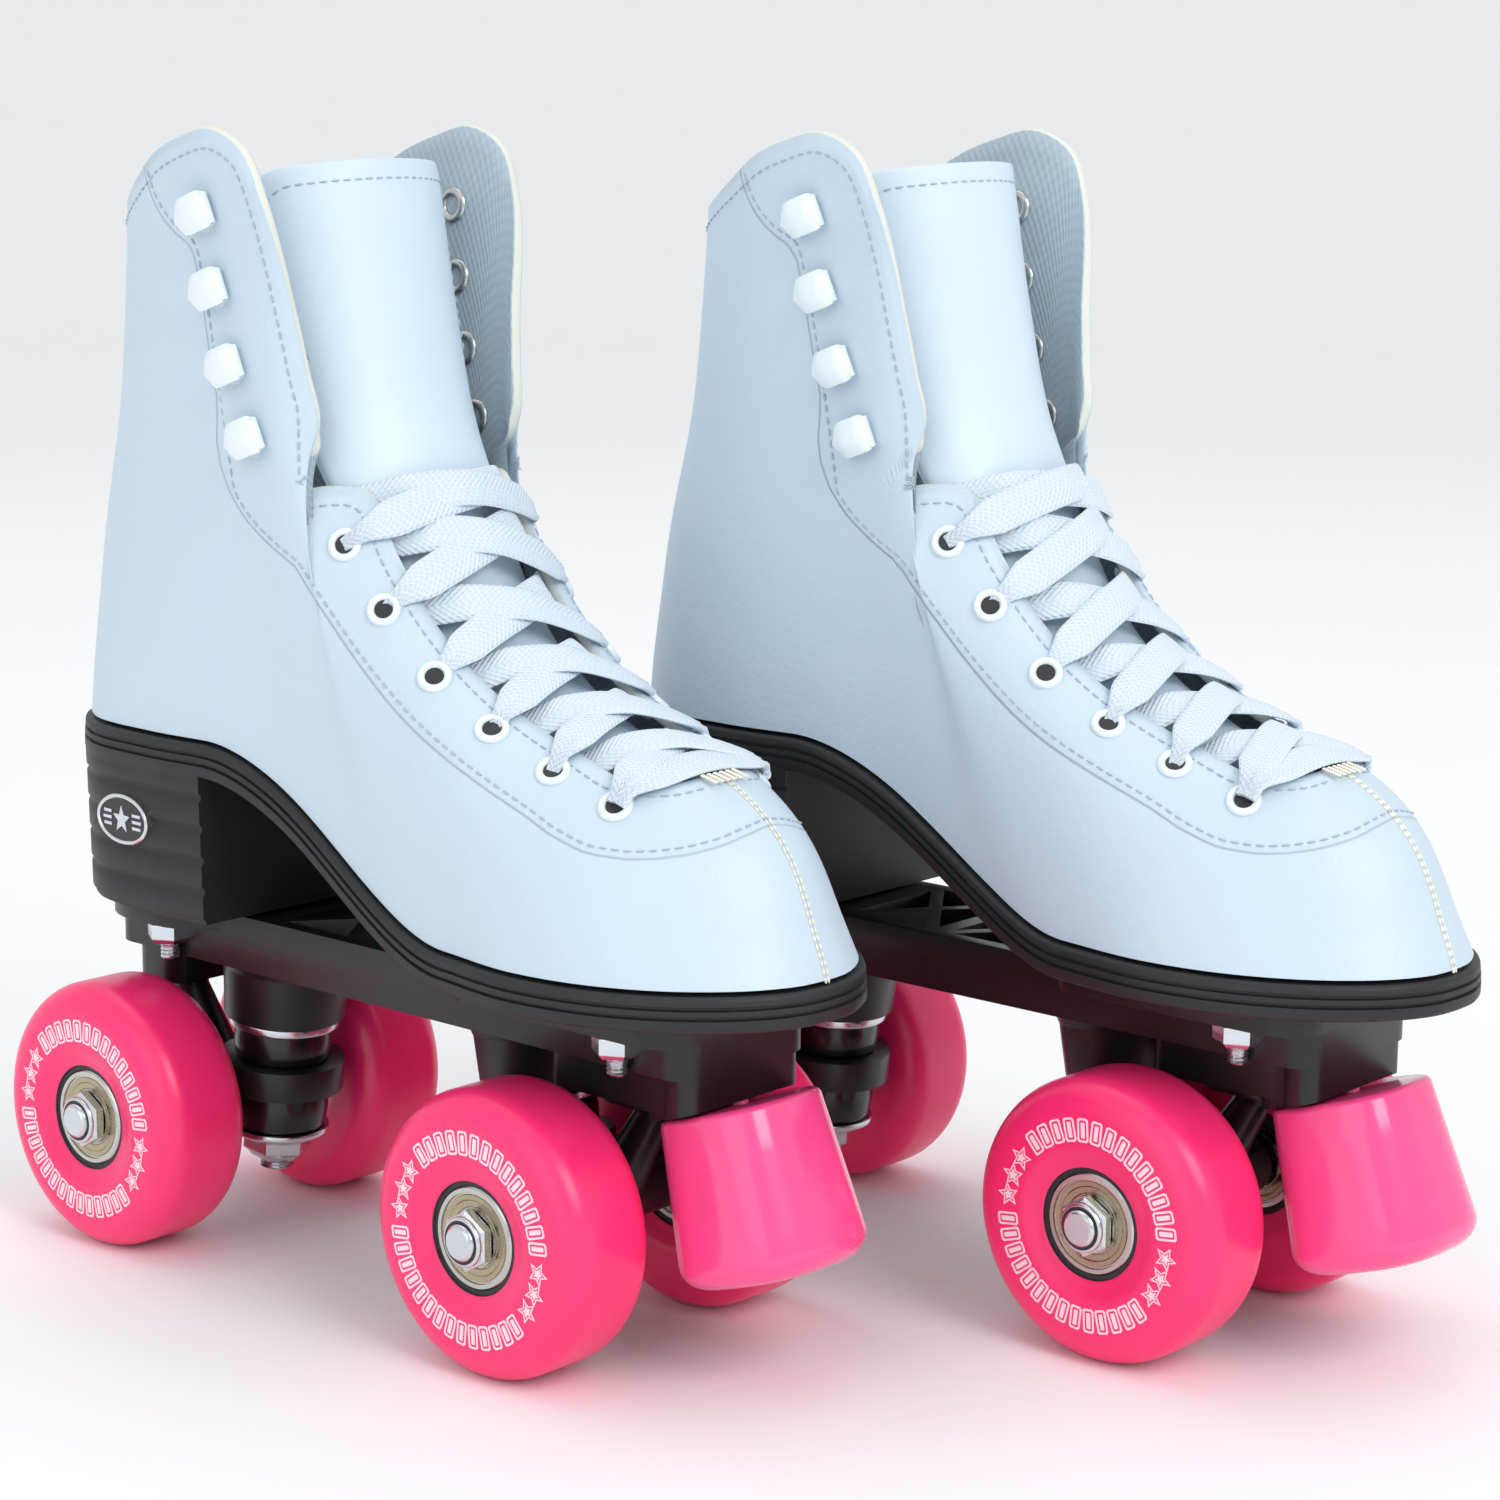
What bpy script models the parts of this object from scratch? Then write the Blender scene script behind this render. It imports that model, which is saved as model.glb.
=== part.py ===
"""Pair of quad roller skates: laced ankle boots on moulded plates with steering trucks and four wheels.

One skate is modelled for the right foot, toe towards -Y and outer side towards -X, on the ground at Z = 0.
The left skate is its mirror image. Lengths below are millimetres; the meshes are metres.
"""
import math

import bpy
import bmesh
import numpy as np
from mathutils import Matrix, Vector

MM = 0.001
GAP = 0.3                      # air left between pieces that touch

# --- how the pair stands -------------------------------------------------------------------------
PAIR_SPACING_X = 94.9          # left skate beside the right one
PAIR_STAGGER_Y = 87.7          # left skate ahead of the right one

# --- rolling gear --------------------------------------------------------------------------------
WHEEL_RADIUS = 31.0
WHEEL_WIDTH = 25.0
WHEEL_EDGE = 7.0               # rounding between tread and side
WHEEL_TRACK = 61.3             # between the middles of the two wheels of one truck
WHEELBASE = 127.3
SIDE_RING_RADIUS = 20.0        # where the side face starts to dish inwards
AXLE_RADIUS = 4.0
AXLE_TUBE_WALL = 2.4
BEARING_RADIUS = 11.0
BEARING_WIDTH = 7.0
BEARING_INSET = 1.6            # outer bearing face, in from the wheel's side
BEARING_SEAT = 0.5             # air round the bearing
SPACER_WALL = 1.8              # spacer between a wheel's two bearings
NUT_HEIGHT = 3.4
NUT_WALL = 2.6
THREAD_END = 1.0               # axle end showing beyond its nut
HUB_CLEARANCE = 1.0            # between the axle tube and the wheel

# --- trucks --------------------------------------------------------------------------------------
KINGPIN_TILT = 6.0             # degrees, lower end towards the axle
KINGPIN_RADIUS = 4.6
RING_RISE = 7.0                # kingpin ring above the axle
RING_RADIUS = 14.6
RING_THICKNESS = 7.0
RING_PLAY = 2.4                # between the kingpin and the ring's bore
CUSHION_RADIUS = 11.4
CUSHION_CLEARANCE = 1.4        # between the lower cushion and the axle tube
UPPER_CUSHION = 7.5
LOWER_CUSHION = 9.0
WASHER_OVERHANG = 1.5
WASHER_THICKNESS = 2.0
CUP_THICKNESS = 3.0
KINGPIN_NUT_WALL = 3.0
KINGPIN_NUT_HEIGHT = 5.5
KINGPIN_END = 2.6
PIVOT_OUTSET = 13.0            # pivot ball, outboard of the axle
PIVOT_RISE = 23.0              # pivot ball above the axle
PIVOT_RADIUS = 4.2
PIVOT_LENGTH = 7.0
PIVOT_PLAY = 1.2               # between the pivot and its cup

# --- plate ---------------------------------------------------------------------------------------
PLATE_RISE = 49.0              # top of the plate above the axles
FLANGE_THICKNESS = 5.0
FLANGE_HALF = 27.0
BEAM_DEPTH = 13.0
BEAM_HALF = 20.0
PLATE_BEHIND_AXLE = 20.35
PLATE_BEFORE_AXLE = 40.35
BLOCK_DEPTH = 22.0             # deep block round the front pivot
BLOCK_CLEARANCE = 2.65         # between that block and the wheels
BOSS_RADIUS = 14.0
POCKET_DEPTH = 7.0
RIB = 2.6

# --- toe stop ------------------------------------------------------------------------------------
STOP_FROM_FRONT = 4.0          # middle of the stop's top, behind the front of the plate
STOP_BELOW_PLATE = 21.5
STOP_LENGTH = 36.0
STOP_TILT = 18.0               # degrees, foot of the stop forwards
STOP_TOP_HALF = 15.4
STOP_FOOT_HALF = 18.0
STOP_ROUND = 5.0
STEM_RADIUS = 5.0
STEM_LENGTH = 9.0

# --- sole ----------------------------------------------------------------------------------------
TOE_Y = -125.0
HEEL_Y = 92.0
BALL_INNER, WAIST_INNER, HEEL_INNER = 39.5, 29.5, 33.5
BALL_OUTER, WAIST_OUTER, HEEL_OUTER = 41.0, 33.0, 35.0
SOLE_THICKNESS = 8.2
HEEL_RISE = 33.5               # heel seat above the forefoot
ARCH_START = -50.0
ARCH_END = 31.0
HEEL_FRONT = 31.0
HEEL_RIBS = 5
RIB_STEP = 0.7

# --- boot ----------------------------------------------------------------------------------------
WALL = 2.4
UPPER_INSET = 1.8              # upper stands inside the sole's edge
BOARD = 3.0
FOOTBED_THICKNESS = 3.0
CUFF_BACK_RISE = 111.0         # above the heel seat
CUFF_PEAK_RISE = 133.5
CUFF_BACK_Y = 69.0
FLAP_HALF_TOP = 39.0
FLAP_HALF_LOW = 30.0
EYELETS = 6
EYELET_PITCH = 16.7
FIRST_EYELET = 5.2             # from the end of the throat
EYELET_HALF_LOW = 22.0
EYELET_HALF_TOP = 28.0
EYELET_TO_EDGE = 6.5
FACING_TAIL = 9.0              # facing above the top eyelet
INSTEP_ROUND_LOW = 52.0
INSTEP_ROUND_TOP = 34.0
COLUMN_ROWS = 7
SIDE_SMOOTHING = 3             # passes that even out neighbouring columns between sole and rim

# --- tongue and lace -----------------------------------------------------------------------------
TONGUE_THICKNESS = 3.4
TONGUE_SINK = 2.6
TONGUE_ROUND_LOW = 27.0
TONGUE_ROUND_TOP = 34.0
TONGUE_HALF_LOW = 18.0
TONGUE_HALF_FOLD = 23.0
TONGUE_HALF_TOP = 31.0
FOLD_ABOVE_FACING = 5.0        # where the tongue bends
LACE_WIDTH = 8.5
LACE_PINCH = 2.6
LACE_THICKNESS = 1.3
LACE_LIFT = 2.8
LACE_CROSS_LIFT = 2.0
LACE_STEPS = 6                 # straight pieces in each crossing

WHEEL_SEGMENTS = 20            # the tread's flats touch its true circle, one of them on the ground
FINE_SEGMENTS = 12

# --- sizes that follow from the ones above -------------------------------------------------------
AXLE_TUBE_RADIUS = AXLE_RADIUS + AXLE_TUBE_WALL
BEARING_FACE = WHEEL_WIDTH / 2 - BEARING_INSET
AXLE_TIP = BEARING_FACE + GAP + NUT_HEIGHT + THREAD_END
KINGPIN_INSET = AXLE_TUBE_RADIUS + CUSHION_RADIUS + CUSHION_CLEARANCE
RING_HEIGHT = WHEEL_RADIUS + RING_RISE
RING_BORE = KINGPIN_RADIUS + RING_PLAY
PIVOT_HEIGHT = WHEEL_RADIUS + PIVOT_RISE
PLATE_TOP = WHEEL_RADIUS + PLATE_RISE
PLATE_REAR = WHEELBASE / 2 + PLATE_BEHIND_AXLE
PLATE_FRONT = -WHEELBASE / 2 - PLATE_BEFORE_AXLE
STOP_Y = PLATE_FRONT + STOP_FROM_FRONT
STOP_TOP = PLATE_TOP - STOP_BELOW_PLATE
FOREFOOT_TOP = PLATE_TOP + GAP + SOLE_THICKNESS
HEEL_TOP = FOREFOOT_TOP + HEEL_RISE
CUFF_BACK_HEIGHT = HEEL_TOP + CUFF_BACK_RISE
CUFF_PEAK_HEIGHT = HEEL_TOP + CUFF_PEAK_RISE
FACING_LENGTH = FIRST_EYELET + (EYELETS - 1) * EYELET_PITCH + FACING_TAIL


# ==================================================================================================
# Curves and outlines
# ==================================================================================================

def spline(points, count):
    """Smooth curve through hand-placed points, sampled evenly along its length."""
    pts = np.array(points, float)
    knots = np.concatenate([[0.0], np.cumsum(np.linalg.norm(np.diff(pts, axis=0), axis=1))])
    slopes = np.gradient(pts, knots, axis=0, edge_order=1)
    dense = []
    for i in range(len(pts) - 1):
        span = knots[i + 1] - knots[i]
        for u in np.linspace(0.0, 1.0, 17)[:-1]:
            h00, h10 = 2 * u**3 - 3 * u**2 + 1, u**3 - 2 * u**2 + u
            h01, h11 = -2 * u**3 + 3 * u**2, u**3 - u**2
            dense.append(h00 * pts[i] + h10 * span * slopes[i] + h01 * pts[i + 1] + h11 * span * slopes[i + 1])
    dense = np.array(dense + [pts[-1]])
    length = np.concatenate([[0.0], np.cumsum(np.linalg.norm(np.diff(dense, axis=0), axis=1))])
    even = np.linspace(0.0, length[-1], count)
    return np.stack([np.interp(even, length, dense[:, k]) for k in range(pts.shape[1])], axis=1)


def smooth_step(value):
    """0 to 1 with level ends."""
    u = min(max(value, 0.0), 1.0)
    return u * u * (3 - 2 * u)


def sole_top(y):
    """Height of the top of the sole above the ground, along the foot."""
    return FOREFOOT_TOP + (HEEL_TOP - FOREFOOT_TOP) * smooth_step((y - ARCH_START) / (ARCH_END - ARCH_START))


def foot_outline(inner, count, inset=0.0):
    """Half of the sole's outline, from the toe round one side to the back of the heel."""
    ball, waist, heel = (BALL_OUTER, WAIST_OUTER, HEEL_OUTER)
    sign = -1.0
    if inner:
        ball, waist, heel = (BALL_INNER, WAIST_INNER, HEEL_INNER)
        sign = 1.0
    points = [(0.0, TOE_Y), (0.16 * ball, TOE_Y + 0.5), (0.36 * ball, TOE_Y + 3.7), (0.68 * ball, TOE_Y + 15.0),
              (0.91 * ball, TOE_Y + 32.0), (ball, TOE_Y + 52.0), (0.93 * ball, ARCH_START),
              (1.05 * waist, ARCH_START + 27.0), (waist, ARCH_START + 52.0), (0.5 * (waist + heel), HEEL_FRONT - 6.0),
              (heel, HEEL_Y - 42.0), (0.9 * heel, HEEL_Y - 19.0), (0.57 * heel, HEEL_Y - 5.0),
              (0.26 * heel, HEEL_Y - 0.9), (0.0, HEEL_Y)]
    line = spline(points, count)
    line[:, 0] *= sign
    tangent = np.gradient(line, axis=0)
    tangent[0], tangent[-1] = (sign, 0.0), (-sign, 0.0)
    tangent /= np.linalg.norm(tangent, axis=1)[:, None]
    inward = np.stack([-tangent[:, 1], tangent[:, 0]], axis=1) * sign
    line = line + inward * inset
    line[0, 0] = line[-1, 0] = 0.0
    return line


def outline_loop(count, inset=0.0):
    """Closed outline of the sole, anticlockwise seen from above."""
    inner = foot_outline(True, count, inset)
    outer = foot_outline(False, count, inset)
    return np.concatenate([inner, outer[::-1][1:-1]])


# The line down the middle of the instep, from the throat to the top of the cuff, as (y, z).
INSTEP_LINE = spline([(y, FOREFOOT_TOP + rise) for y, rise in
                      ((-92.0, 38.5), (-66.0, 47.0), (-51.0, 54.5), (-35.0, 67.5), (-27.0, 79.5),
                       (-18.5, 93.5), (-12.5, 105.5), (-5.5, 130.5), (0.5, 161.5))], 200)
INSTEP_LENGTH = np.concatenate([[0.0], np.cumsum(np.linalg.norm(np.diff(INSTEP_LINE, axis=0), axis=1))])


def instep_frame(along):
    """Point and outward normal of the instep line, in the Y-Z plane; it runs on straight past its ends."""
    def place(distance):
        return np.array([np.interp(distance, INSTEP_LENGTH, INSTEP_LINE[:, k]) for k in range(2)])

    middle = min(max(along, 3.0), INSTEP_LENGTH[-1] - 3.0)
    tangent = place(middle + 3.0) - place(middle - 3.0)
    tangent /= np.linalg.norm(tangent)
    inside = min(max(along, 0.0), INSTEP_LENGTH[-1])
    return place(inside) + tangent * (along - inside), np.array([-tangent[1], tangent[0]])


def instep_point(along, x, radius, lift=0.0):
    """Point on the rounded instep, x off the middle line, lifted off the surface; and its normal."""
    point, normal = instep_frame(along)
    slope = x / radius
    flat = math.sqrt(1.0 - slope * slope)
    yz = point - normal * radius * (1.0 - flat)
    surface_normal = np.array([slope, flat * normal[0], flat * normal[1]])
    return np.array([x, yz[0], yz[1]]) + surface_normal * lift, surface_normal


def facing_radius(along):
    """Roundness of the instep under the lacing."""
    share = min(max(along / FACING_LENGTH, 0.0), 1.0)
    return INSTEP_ROUND_LOW + (INSTEP_ROUND_TOP - INSTEP_ROUND_LOW) * share


def eyelet_half(along):
    """Half the distance between the two rows of eyelets."""
    share = min(max(along / FACING_LENGTH, 0.0), 1.0)
    return EYELET_HALF_LOW + (EYELET_HALF_TOP - EYELET_HALF_LOW) * share


def eyelet_along(index):
    """Place of an eyelet along the instep line, counted up from the throat."""
    return FIRST_EYELET + index * EYELET_PITCH


# ==================================================================================================
# Mesh helpers
# ==================================================================================================

def make_mesh(name, points, faces):
    """Closed mesh from points in millimetres, with its faces turned outwards."""
    mesh = bpy.data.meshes.new(name)
    mesh.from_pydata([tuple(float(c) * MM for c in p) for p in points], [], [list(f) for f in faces])
    bm = bmesh.new()
    bm.from_mesh(mesh)
    bmesh.ops.remove_doubles(bm, verts=bm.verts, dist=1e-6)
    bmesh.ops.recalc_face_normals(bm, faces=bm.faces)
    bm.to_mesh(mesh)
    bm.free()
    return mesh


def split_bent_faces(mesh):
    """Splits every face that isn't flat, so that only flat ones are left."""
    bm = bmesh.new()
    bm.from_mesh(mesh)
    bmesh.ops.connect_verts_nonplanar(bm, angle_limit=math.radians(0.1), faces=bm.faces)
    bm.to_mesh(mesh)
    bm.free()


def grid_faces(rows, columns, wrap):
    """Quads between neighbouring rows of points; wrap joins the last column to the first."""
    faces = []
    for r in range(rows - 1):
        for c in range(columns if wrap else columns - 1):
            d = (c + 1) % columns
            faces.append((r * columns + c, r * columns + d, (r + 1) * columns + d, (r + 1) * columns + c))
    return faces


def loft(rings, capped=True):
    """Skin over a stack of equal rings of points; the first and last are closed unless they meet."""
    count = len(rings[0])
    points = [p for ring in rings for p in ring]
    faces = grid_faces(len(rings), count, True)
    if capped:
        faces.append(tuple(range(count)))
        faces.append(tuple(range((len(rings) - 1) * count, len(rings) * count)))
    return points, faces


def turned(profile, segments, along=Vector((1, 0, 0)), at=Vector((0, 0, 0))):
    """Round body from a closed profile of (distance along the axis, radius) pairs."""
    turn = along.to_track_quat('X', 'Z').to_matrix()
    columns = len(profile)
    rows = []
    for s in range(segments):
        angle = 2 * math.pi * (s + 0.5) / segments
        rows.append([at + turn @ Vector((a, r * math.cos(angle), r * math.sin(angle))) for a, r in profile])
    points = [p for row in rows for p in row]
    faces = []
    for s in range(segments):
        t = (s + 1) % segments
        for c in range(columns):
            d = (c + 1) % columns
            faces.append((s * columns + c, s * columns + d, t * columns + d, t * columns + c))
    return points, faces


def solid_rod(start, end, radius, segments, end_radius=None):
    """Plain rod, or cone, between two points."""
    start, end = Vector(start), Vector(end)
    turn = (end - start).to_track_quat('Z', 'Y').to_matrix()
    rings = []
    for point, size in ((start, radius), (end, radius if end_radius is None else end_radius)):
        rings.append([point + turn @ Vector((size * math.cos(2 * math.pi * k / segments),
                                             size * math.sin(2 * math.pi * k / segments), 0.0))
                      for k in range(segments)])
    return loft(rings)


def prism(outline, low, high):
    """Upright block with the given outline."""
    return loft([[(x, y, low) for x, y in outline], [(x, y, high) for x, y in outline]])


def rounded_rectangle(x0, x1, y0, y1, radius, steps=3):
    """Outline of a rectangle with rounded corners."""
    corners = ((x1 - radius, y1 - radius, 0), (x0 + radius, y1 - radius, 90),
               (x0 + radius, y0 + radius, 180), (x1 - radius, y0 + radius, 270))
    outline = []
    for cx, cy, start in corners:
        for k in range(steps + 1):
            angle = math.radians(start + 90.0 * k / steps)
            outline.append((cx + radius * math.cos(angle), cy + radius * math.sin(angle)))
    return outline


def combine(name, base, others):
    """Joins or cuts closed shapes: others is a list of (shape, 'UNION' or 'DIFFERENCE')."""
    body = bpy.data.objects.new(name, make_mesh(name, *base))
    bpy.context.collection.objects.link(body)
    tools = []
    for number, (shape, operation) in enumerate(others):
        tool = bpy.data.objects.new(f"{name}_tool_{number}", make_mesh(name, *shape))
        bpy.context.collection.objects.link(tool)
        change = body.modifiers.new(f"step_{number}", 'BOOLEAN')
        change.operation = operation
        change.solver = 'EXACT'
        change.object = tool
        tools.append(tool)
    evaluated = body.evaluated_get(bpy.context.evaluated_depsgraph_get())
    mesh = bpy.data.meshes.new_from_object(evaluated)
    for used in tools + [body]:
        bpy.data.objects.remove(used)
    bm = bmesh.new()
    bm.from_mesh(mesh)
    bmesh.ops.remove_doubles(bm, verts=bm.verts, dist=2e-6)
    bmesh.ops.dissolve_degenerate(bm, edges=bm.edges, dist=2e-6)
    bm.to_mesh(mesh)
    bm.free()
    mesh.name = name
    return mesh


# ==================================================================================================
# Boot
# ==================================================================================================

def rim_half():
    """The edge of the boot's opening on one side, from the throat to the middle of the back.

    Each entry is (point, share of the way round the foot, lower handle, upper handle); the handles
    shape the column of leather that climbs from the sole to that point.
    """
    columns = []

    def add(points, shares, low_handles, high_handles):
        for k, point in enumerate(points):
            u = k / (len(points) - 1)
            columns.append((np.array(point), shares[0] + (shares[1] - shares[0]) * u,
                            np.array(low_handles[0]) * (1 - u) + np.array(low_handles[1]) * u,
                            np.array(high_handles[0]) * (1 - u) + np.array(high_handles[1]) * u))

    def facing_edge(along):
        return instep_point(along, eyelet_half(along) - EYELET_TO_EDGE, facing_radius(along))[0]

    def facing_fall(along, length):
        """Handle that follows the instep's roundness outwards from the facing's edge."""
        normal = instep_point(along, eyelet_half(along) - EYELET_TO_EDGE, facing_radius(along))[1]
        return length * math.hypot(normal[1], normal[2]), -length * normal[0] * normal[1], -length * normal[0] * normal[2]

    throat = instep_point(0.0, 0.0, INSTEP_ROUND_LOW)[0]
    first = FIRST_EYELET + 1.0
    corner = facing_edge(FACING_LENGTH)
    notch = corner + np.array([FLAP_HALF_LOW + 1.0 - corner[0], 13.0, 1.0])
    flap_low = notch + np.array([-0.8, -8.0, 12.0])
    # throat end, then up the facing to its top corner
    add([throat, instep_point(0.6, 0.45 * EYELET_HALF_LOW, INSTEP_ROUND_LOW)[0], facing_edge(first)],
        (0.0, 0.16), ((4, 20), (3, 22)), ((22, 0, -1), facing_fall(FIRST_EYELET, 14.0)))
    add([facing_edge(first + (FACING_LENGTH - first) * k / 6) for k in range(1, 7)],
        (0.20, 0.40), ((3, 24), (1, 34)), (facing_fall(eyelet_along(1), 14.5), (10, 8, -9)))
    # notch under the flap
    add([0.5 * (corner + notch), notch - np.array([1.2, 1.6, 1.0]), notch], (0.42, 0.455),
        ((1, 34), (0.5, 34)), ((8, 8, -12), (5, 8, -17)))
    # flap: lower corner, leading edge, top line to the back
    add([notch + np.array([-0.7, -6.0, 7.5]), flap_low], (0.475, 0.49), ((0.5, 34), (0.5, 36)),
        ((3, 13, -12), (2, 16, -9)))
    lead = spline([tuple(flap_low), (0.5 * (FLAP_HALF_LOW + FLAP_HALF_TOP) - 1.5, -3.0,
                                     0.4 * flap_low[2] + 0.6 * CUFF_PEAK_HEIGHT - 16.0),
                   (FLAP_HALF_TOP - 0.8, 3.0, CUFF_PEAK_HEIGHT - 12.5), (FLAP_HALF_TOP, 8.5, CUFF_PEAK_HEIGHT - 3.2),
                   (FLAP_HALF_TOP, 18.0, CUFF_PEAK_HEIGHT)], 7)
    add(lead[1:], (0.505, 0.60), ((0.5, 36), (0, 38)), ((1, 16, -10), (-2.5, 6, -34)))
    back = spline([(FLAP_HALF_TOP, 18.0, CUFF_PEAK_HEIGHT), (FLAP_HALF_TOP - 0.5, 33.0, CUFF_PEAK_HEIGHT - 3.5),
                   (FLAP_HALF_TOP - 5.0, 48.0, CUFF_BACK_HEIGHT + 11.0), (0.62 * FLAP_HALF_TOP, CUFF_BACK_Y - 6.5,
                   CUFF_BACK_HEIGHT + 4.0), (0.3 * FLAP_HALF_TOP, CUFF_BACK_Y - 1.0, CUFF_BACK_HEIGHT + 0.5),
                   (0.0, CUFF_BACK_Y, CUFF_BACK_HEIGHT)], 9)
    add(back[1:], (0.635, 1.0), ((0, 38), (6, 40)), ((-2.5, 5, -35), (4, 0, -45)))
    return columns


def boot_half(inner):
    """Outer surface of one side of the boot: columns of points from the sole to the rim."""
    sign = 1.0 if inner else -1.0
    line = foot_outline(inner, 201, UPPER_INSET)
    tangent = np.gradient(line, axis=0)
    tangent /= np.linalg.norm(tangent, axis=1)[:, None]
    outward = np.stack([tangent[:, 1], -tangent[:, 0]], axis=1) * sign
    outward[0], outward[-1] = (0.0, -1.0), (0.0, 1.0)
    frames = []
    for rim, share, low, high in rim_half():
        place = share * 200
        base = np.array([np.interp(place, range(201), line[:, k]) for k in range(2)])
        out = np.array([np.interp(place, range(201), outward[:, k]) for k in range(2)])
        out3 = np.array([out[0], out[1], 0.0])
        foot = np.array([base[0], base[1], sole_top(base[1]) + GAP])
        top = np.array([sign * rim[0], rim[1], rim[2]])
        first = foot + out3 * low[0] + np.array([0, 0, low[1]])
        sideways = smooth_step((share - 0.04) / 0.12) * (1.0 - smooth_step((share - 0.72) / 0.18))
        side = out3 * (1.0 - sideways) + np.array([sign, 0.0, 0.0]) * sideways
        second = top + side * high[0] + np.array([0.0, high[1], high[2]])
        frames.append((foot, first, second, top))
    frames = np.array(frames)
    for _ in range(SIDE_SMOOTHING):
        frames[1:-1, 1:3] = 0.5 * frames[1:-1, 1:3] + 0.25 * (frames[:-2, 1:3] + frames[2:, 1:3])
    t = np.linspace(0.0, 1.0, COLUMN_ROWS)
    blend = np.stack([(1 - t)**3, 3 * (1 - t)**2 * t, 3 * (1 - t) * t**2, t**3], axis=1)
    return list(np.einsum('rk,ckd->crd', blend, frames))


def boot_upper():
    """Leather shell of the boot with its lasting board, open at the cuff and down the instep."""
    inner, outer = boot_half(True), boot_half(False)
    around = inner + outer[::-1][1:-1]
    count = len(around)
    skin = np.array([[column[row] for column in around] for row in range(COLUMN_ROWS)])
    step_round = np.roll(skin, -1, axis=1) - np.roll(skin, 1, axis=1)
    step_up = np.gradient(skin, axis=0)
    normal = np.cross(step_round, step_up)
    normal /= np.linalg.norm(normal, axis=2)[:, :, None]
    lining = skin - normal * WALL
    for c in range(count):
        lining[0, c, 2] = skin[0, c, 2] + BOARD
    points = list(skin.reshape(-1, 3)) + list(lining.reshape(-1, 3))
    inside = COLUMN_ROWS * count
    faces = grid_faces(COLUMN_ROWS, count, True)
    faces += [tuple(inside + k for k in reversed(f)) for f in grid_faces(COLUMN_ROWS, count, True)]
    rim = (COLUMN_ROWS - 1) * count
    half = len(inner)
    for c in range(count):
        d = (c + 1) % count
        faces.append((rim + c, rim + d, inside + rim + d, inside + rim + c))
    for base in (0, inside):
        for k in range(half - 1):
            left_a, left_b = k, k + 1
            right_a, right_b = (count - k) % count, (count - k - 1) % count
            corners = [base + left_a, base + left_b, base + right_b, base + right_a]
            faces.append(tuple(dict.fromkeys(corners)))
    return make_mesh("boot_upper", points, faces)


def strip_caps(half, count, base):
    """Faces across a ring that runs from the toe up one side and back down the other."""
    faces = []
    for k in range(half - 1):
        corners = [base + k, base + k + 1, base + (count - k - 1) % count, base + (count - k) % count]
        faces.append(tuple(dict.fromkeys(corners)))
    return faces


def sole_slab(half, levels):
    """Slab in the sole's shape; levels is a list of (inset, height function)."""
    rings = []
    for inset, height in levels:
        rings.append([(x, y, height(y)) for x, y in outline_loop(half, inset)])
    count = len(rings[0])
    points, faces = loft(rings, capped=False)
    faces += strip_caps(half, count, 0)
    faces += strip_caps(half, count, (len(rings) - 1) * count)
    return points, faces


def footbed():
    """Thin insole lying on the lasting board."""
    inset = UPPER_INSET + WALL + 4.0
    low = BOARD + 6 * GAP
    return make_mesh("footbed", *sole_slab(14, [(inset, lambda y: sole_top(y) + low),
                                                (inset, lambda y: sole_top(y) + low + FOOTBED_THICKNESS)]))


def outsole():
    """Rubber sole with a grooved edge, and the ribbed heel block under its back part."""
    groove = 0.8
    t = SOLE_THICKNESS
    levels = [(1.0, lambda y: sole_top(y) - t), (0.0, lambda y: sole_top(y) - 0.88 * t),
              (0.0, lambda y: sole_top(y) - 0.60 * t), (groove, lambda y: sole_top(y) - 0.50 * t),
              (0.3, lambda y: sole_top(y) - 0.40 * t), (0.5, lambda y: sole_top(y) - 2 * GAP)]
    slab = sole_slab(21, levels)
    low = PLATE_TOP + GAP
    top = HEEL_TOP - 0.7 * t
    rings = []
    half = [p for p in foot_outline(True, 81) if p[1] > HEEL_FRONT][::4]
    half_outer = [p for p in foot_outline(False, 81) if p[1] > HEEL_FRONT][::4]
    rib = (top - low) / HEEL_RIBS
    for k in range(HEEL_RIBS):
        for share, inset in ((0.0, RIB_STEP + 0.2 * (HEEL_RIBS - k)), (0.82, 0.2 * (HEEL_RIBS - k) - 0.1)):
            z = low + rib * (k + share)
            ring = []
            for x, y in [(half[0][0], HEEL_FRONT)] + half[1:] + half_outer[::-1][1:-1] + [(half_outer[0][0], HEEL_FRONT)]:
                centre = np.array([0.0, HEEL_Y - 36.0 if y > HEEL_Y - 36.0 else y])
                away = np.array([x, y]) - centre
                place = centre + away * (1.0 - inset / max(np.linalg.norm(away), 1.0))
                ring.append((place[0], place[1], z))
            rings.append(ring)
    rings.append([(x, y, top) for x, y, _ in rings[-1]])
    return combine("outsole", slab, [(loft(rings), 'UNION')])


# ==================================================================================================
# Tongue and lace
# ==================================================================================================

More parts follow.
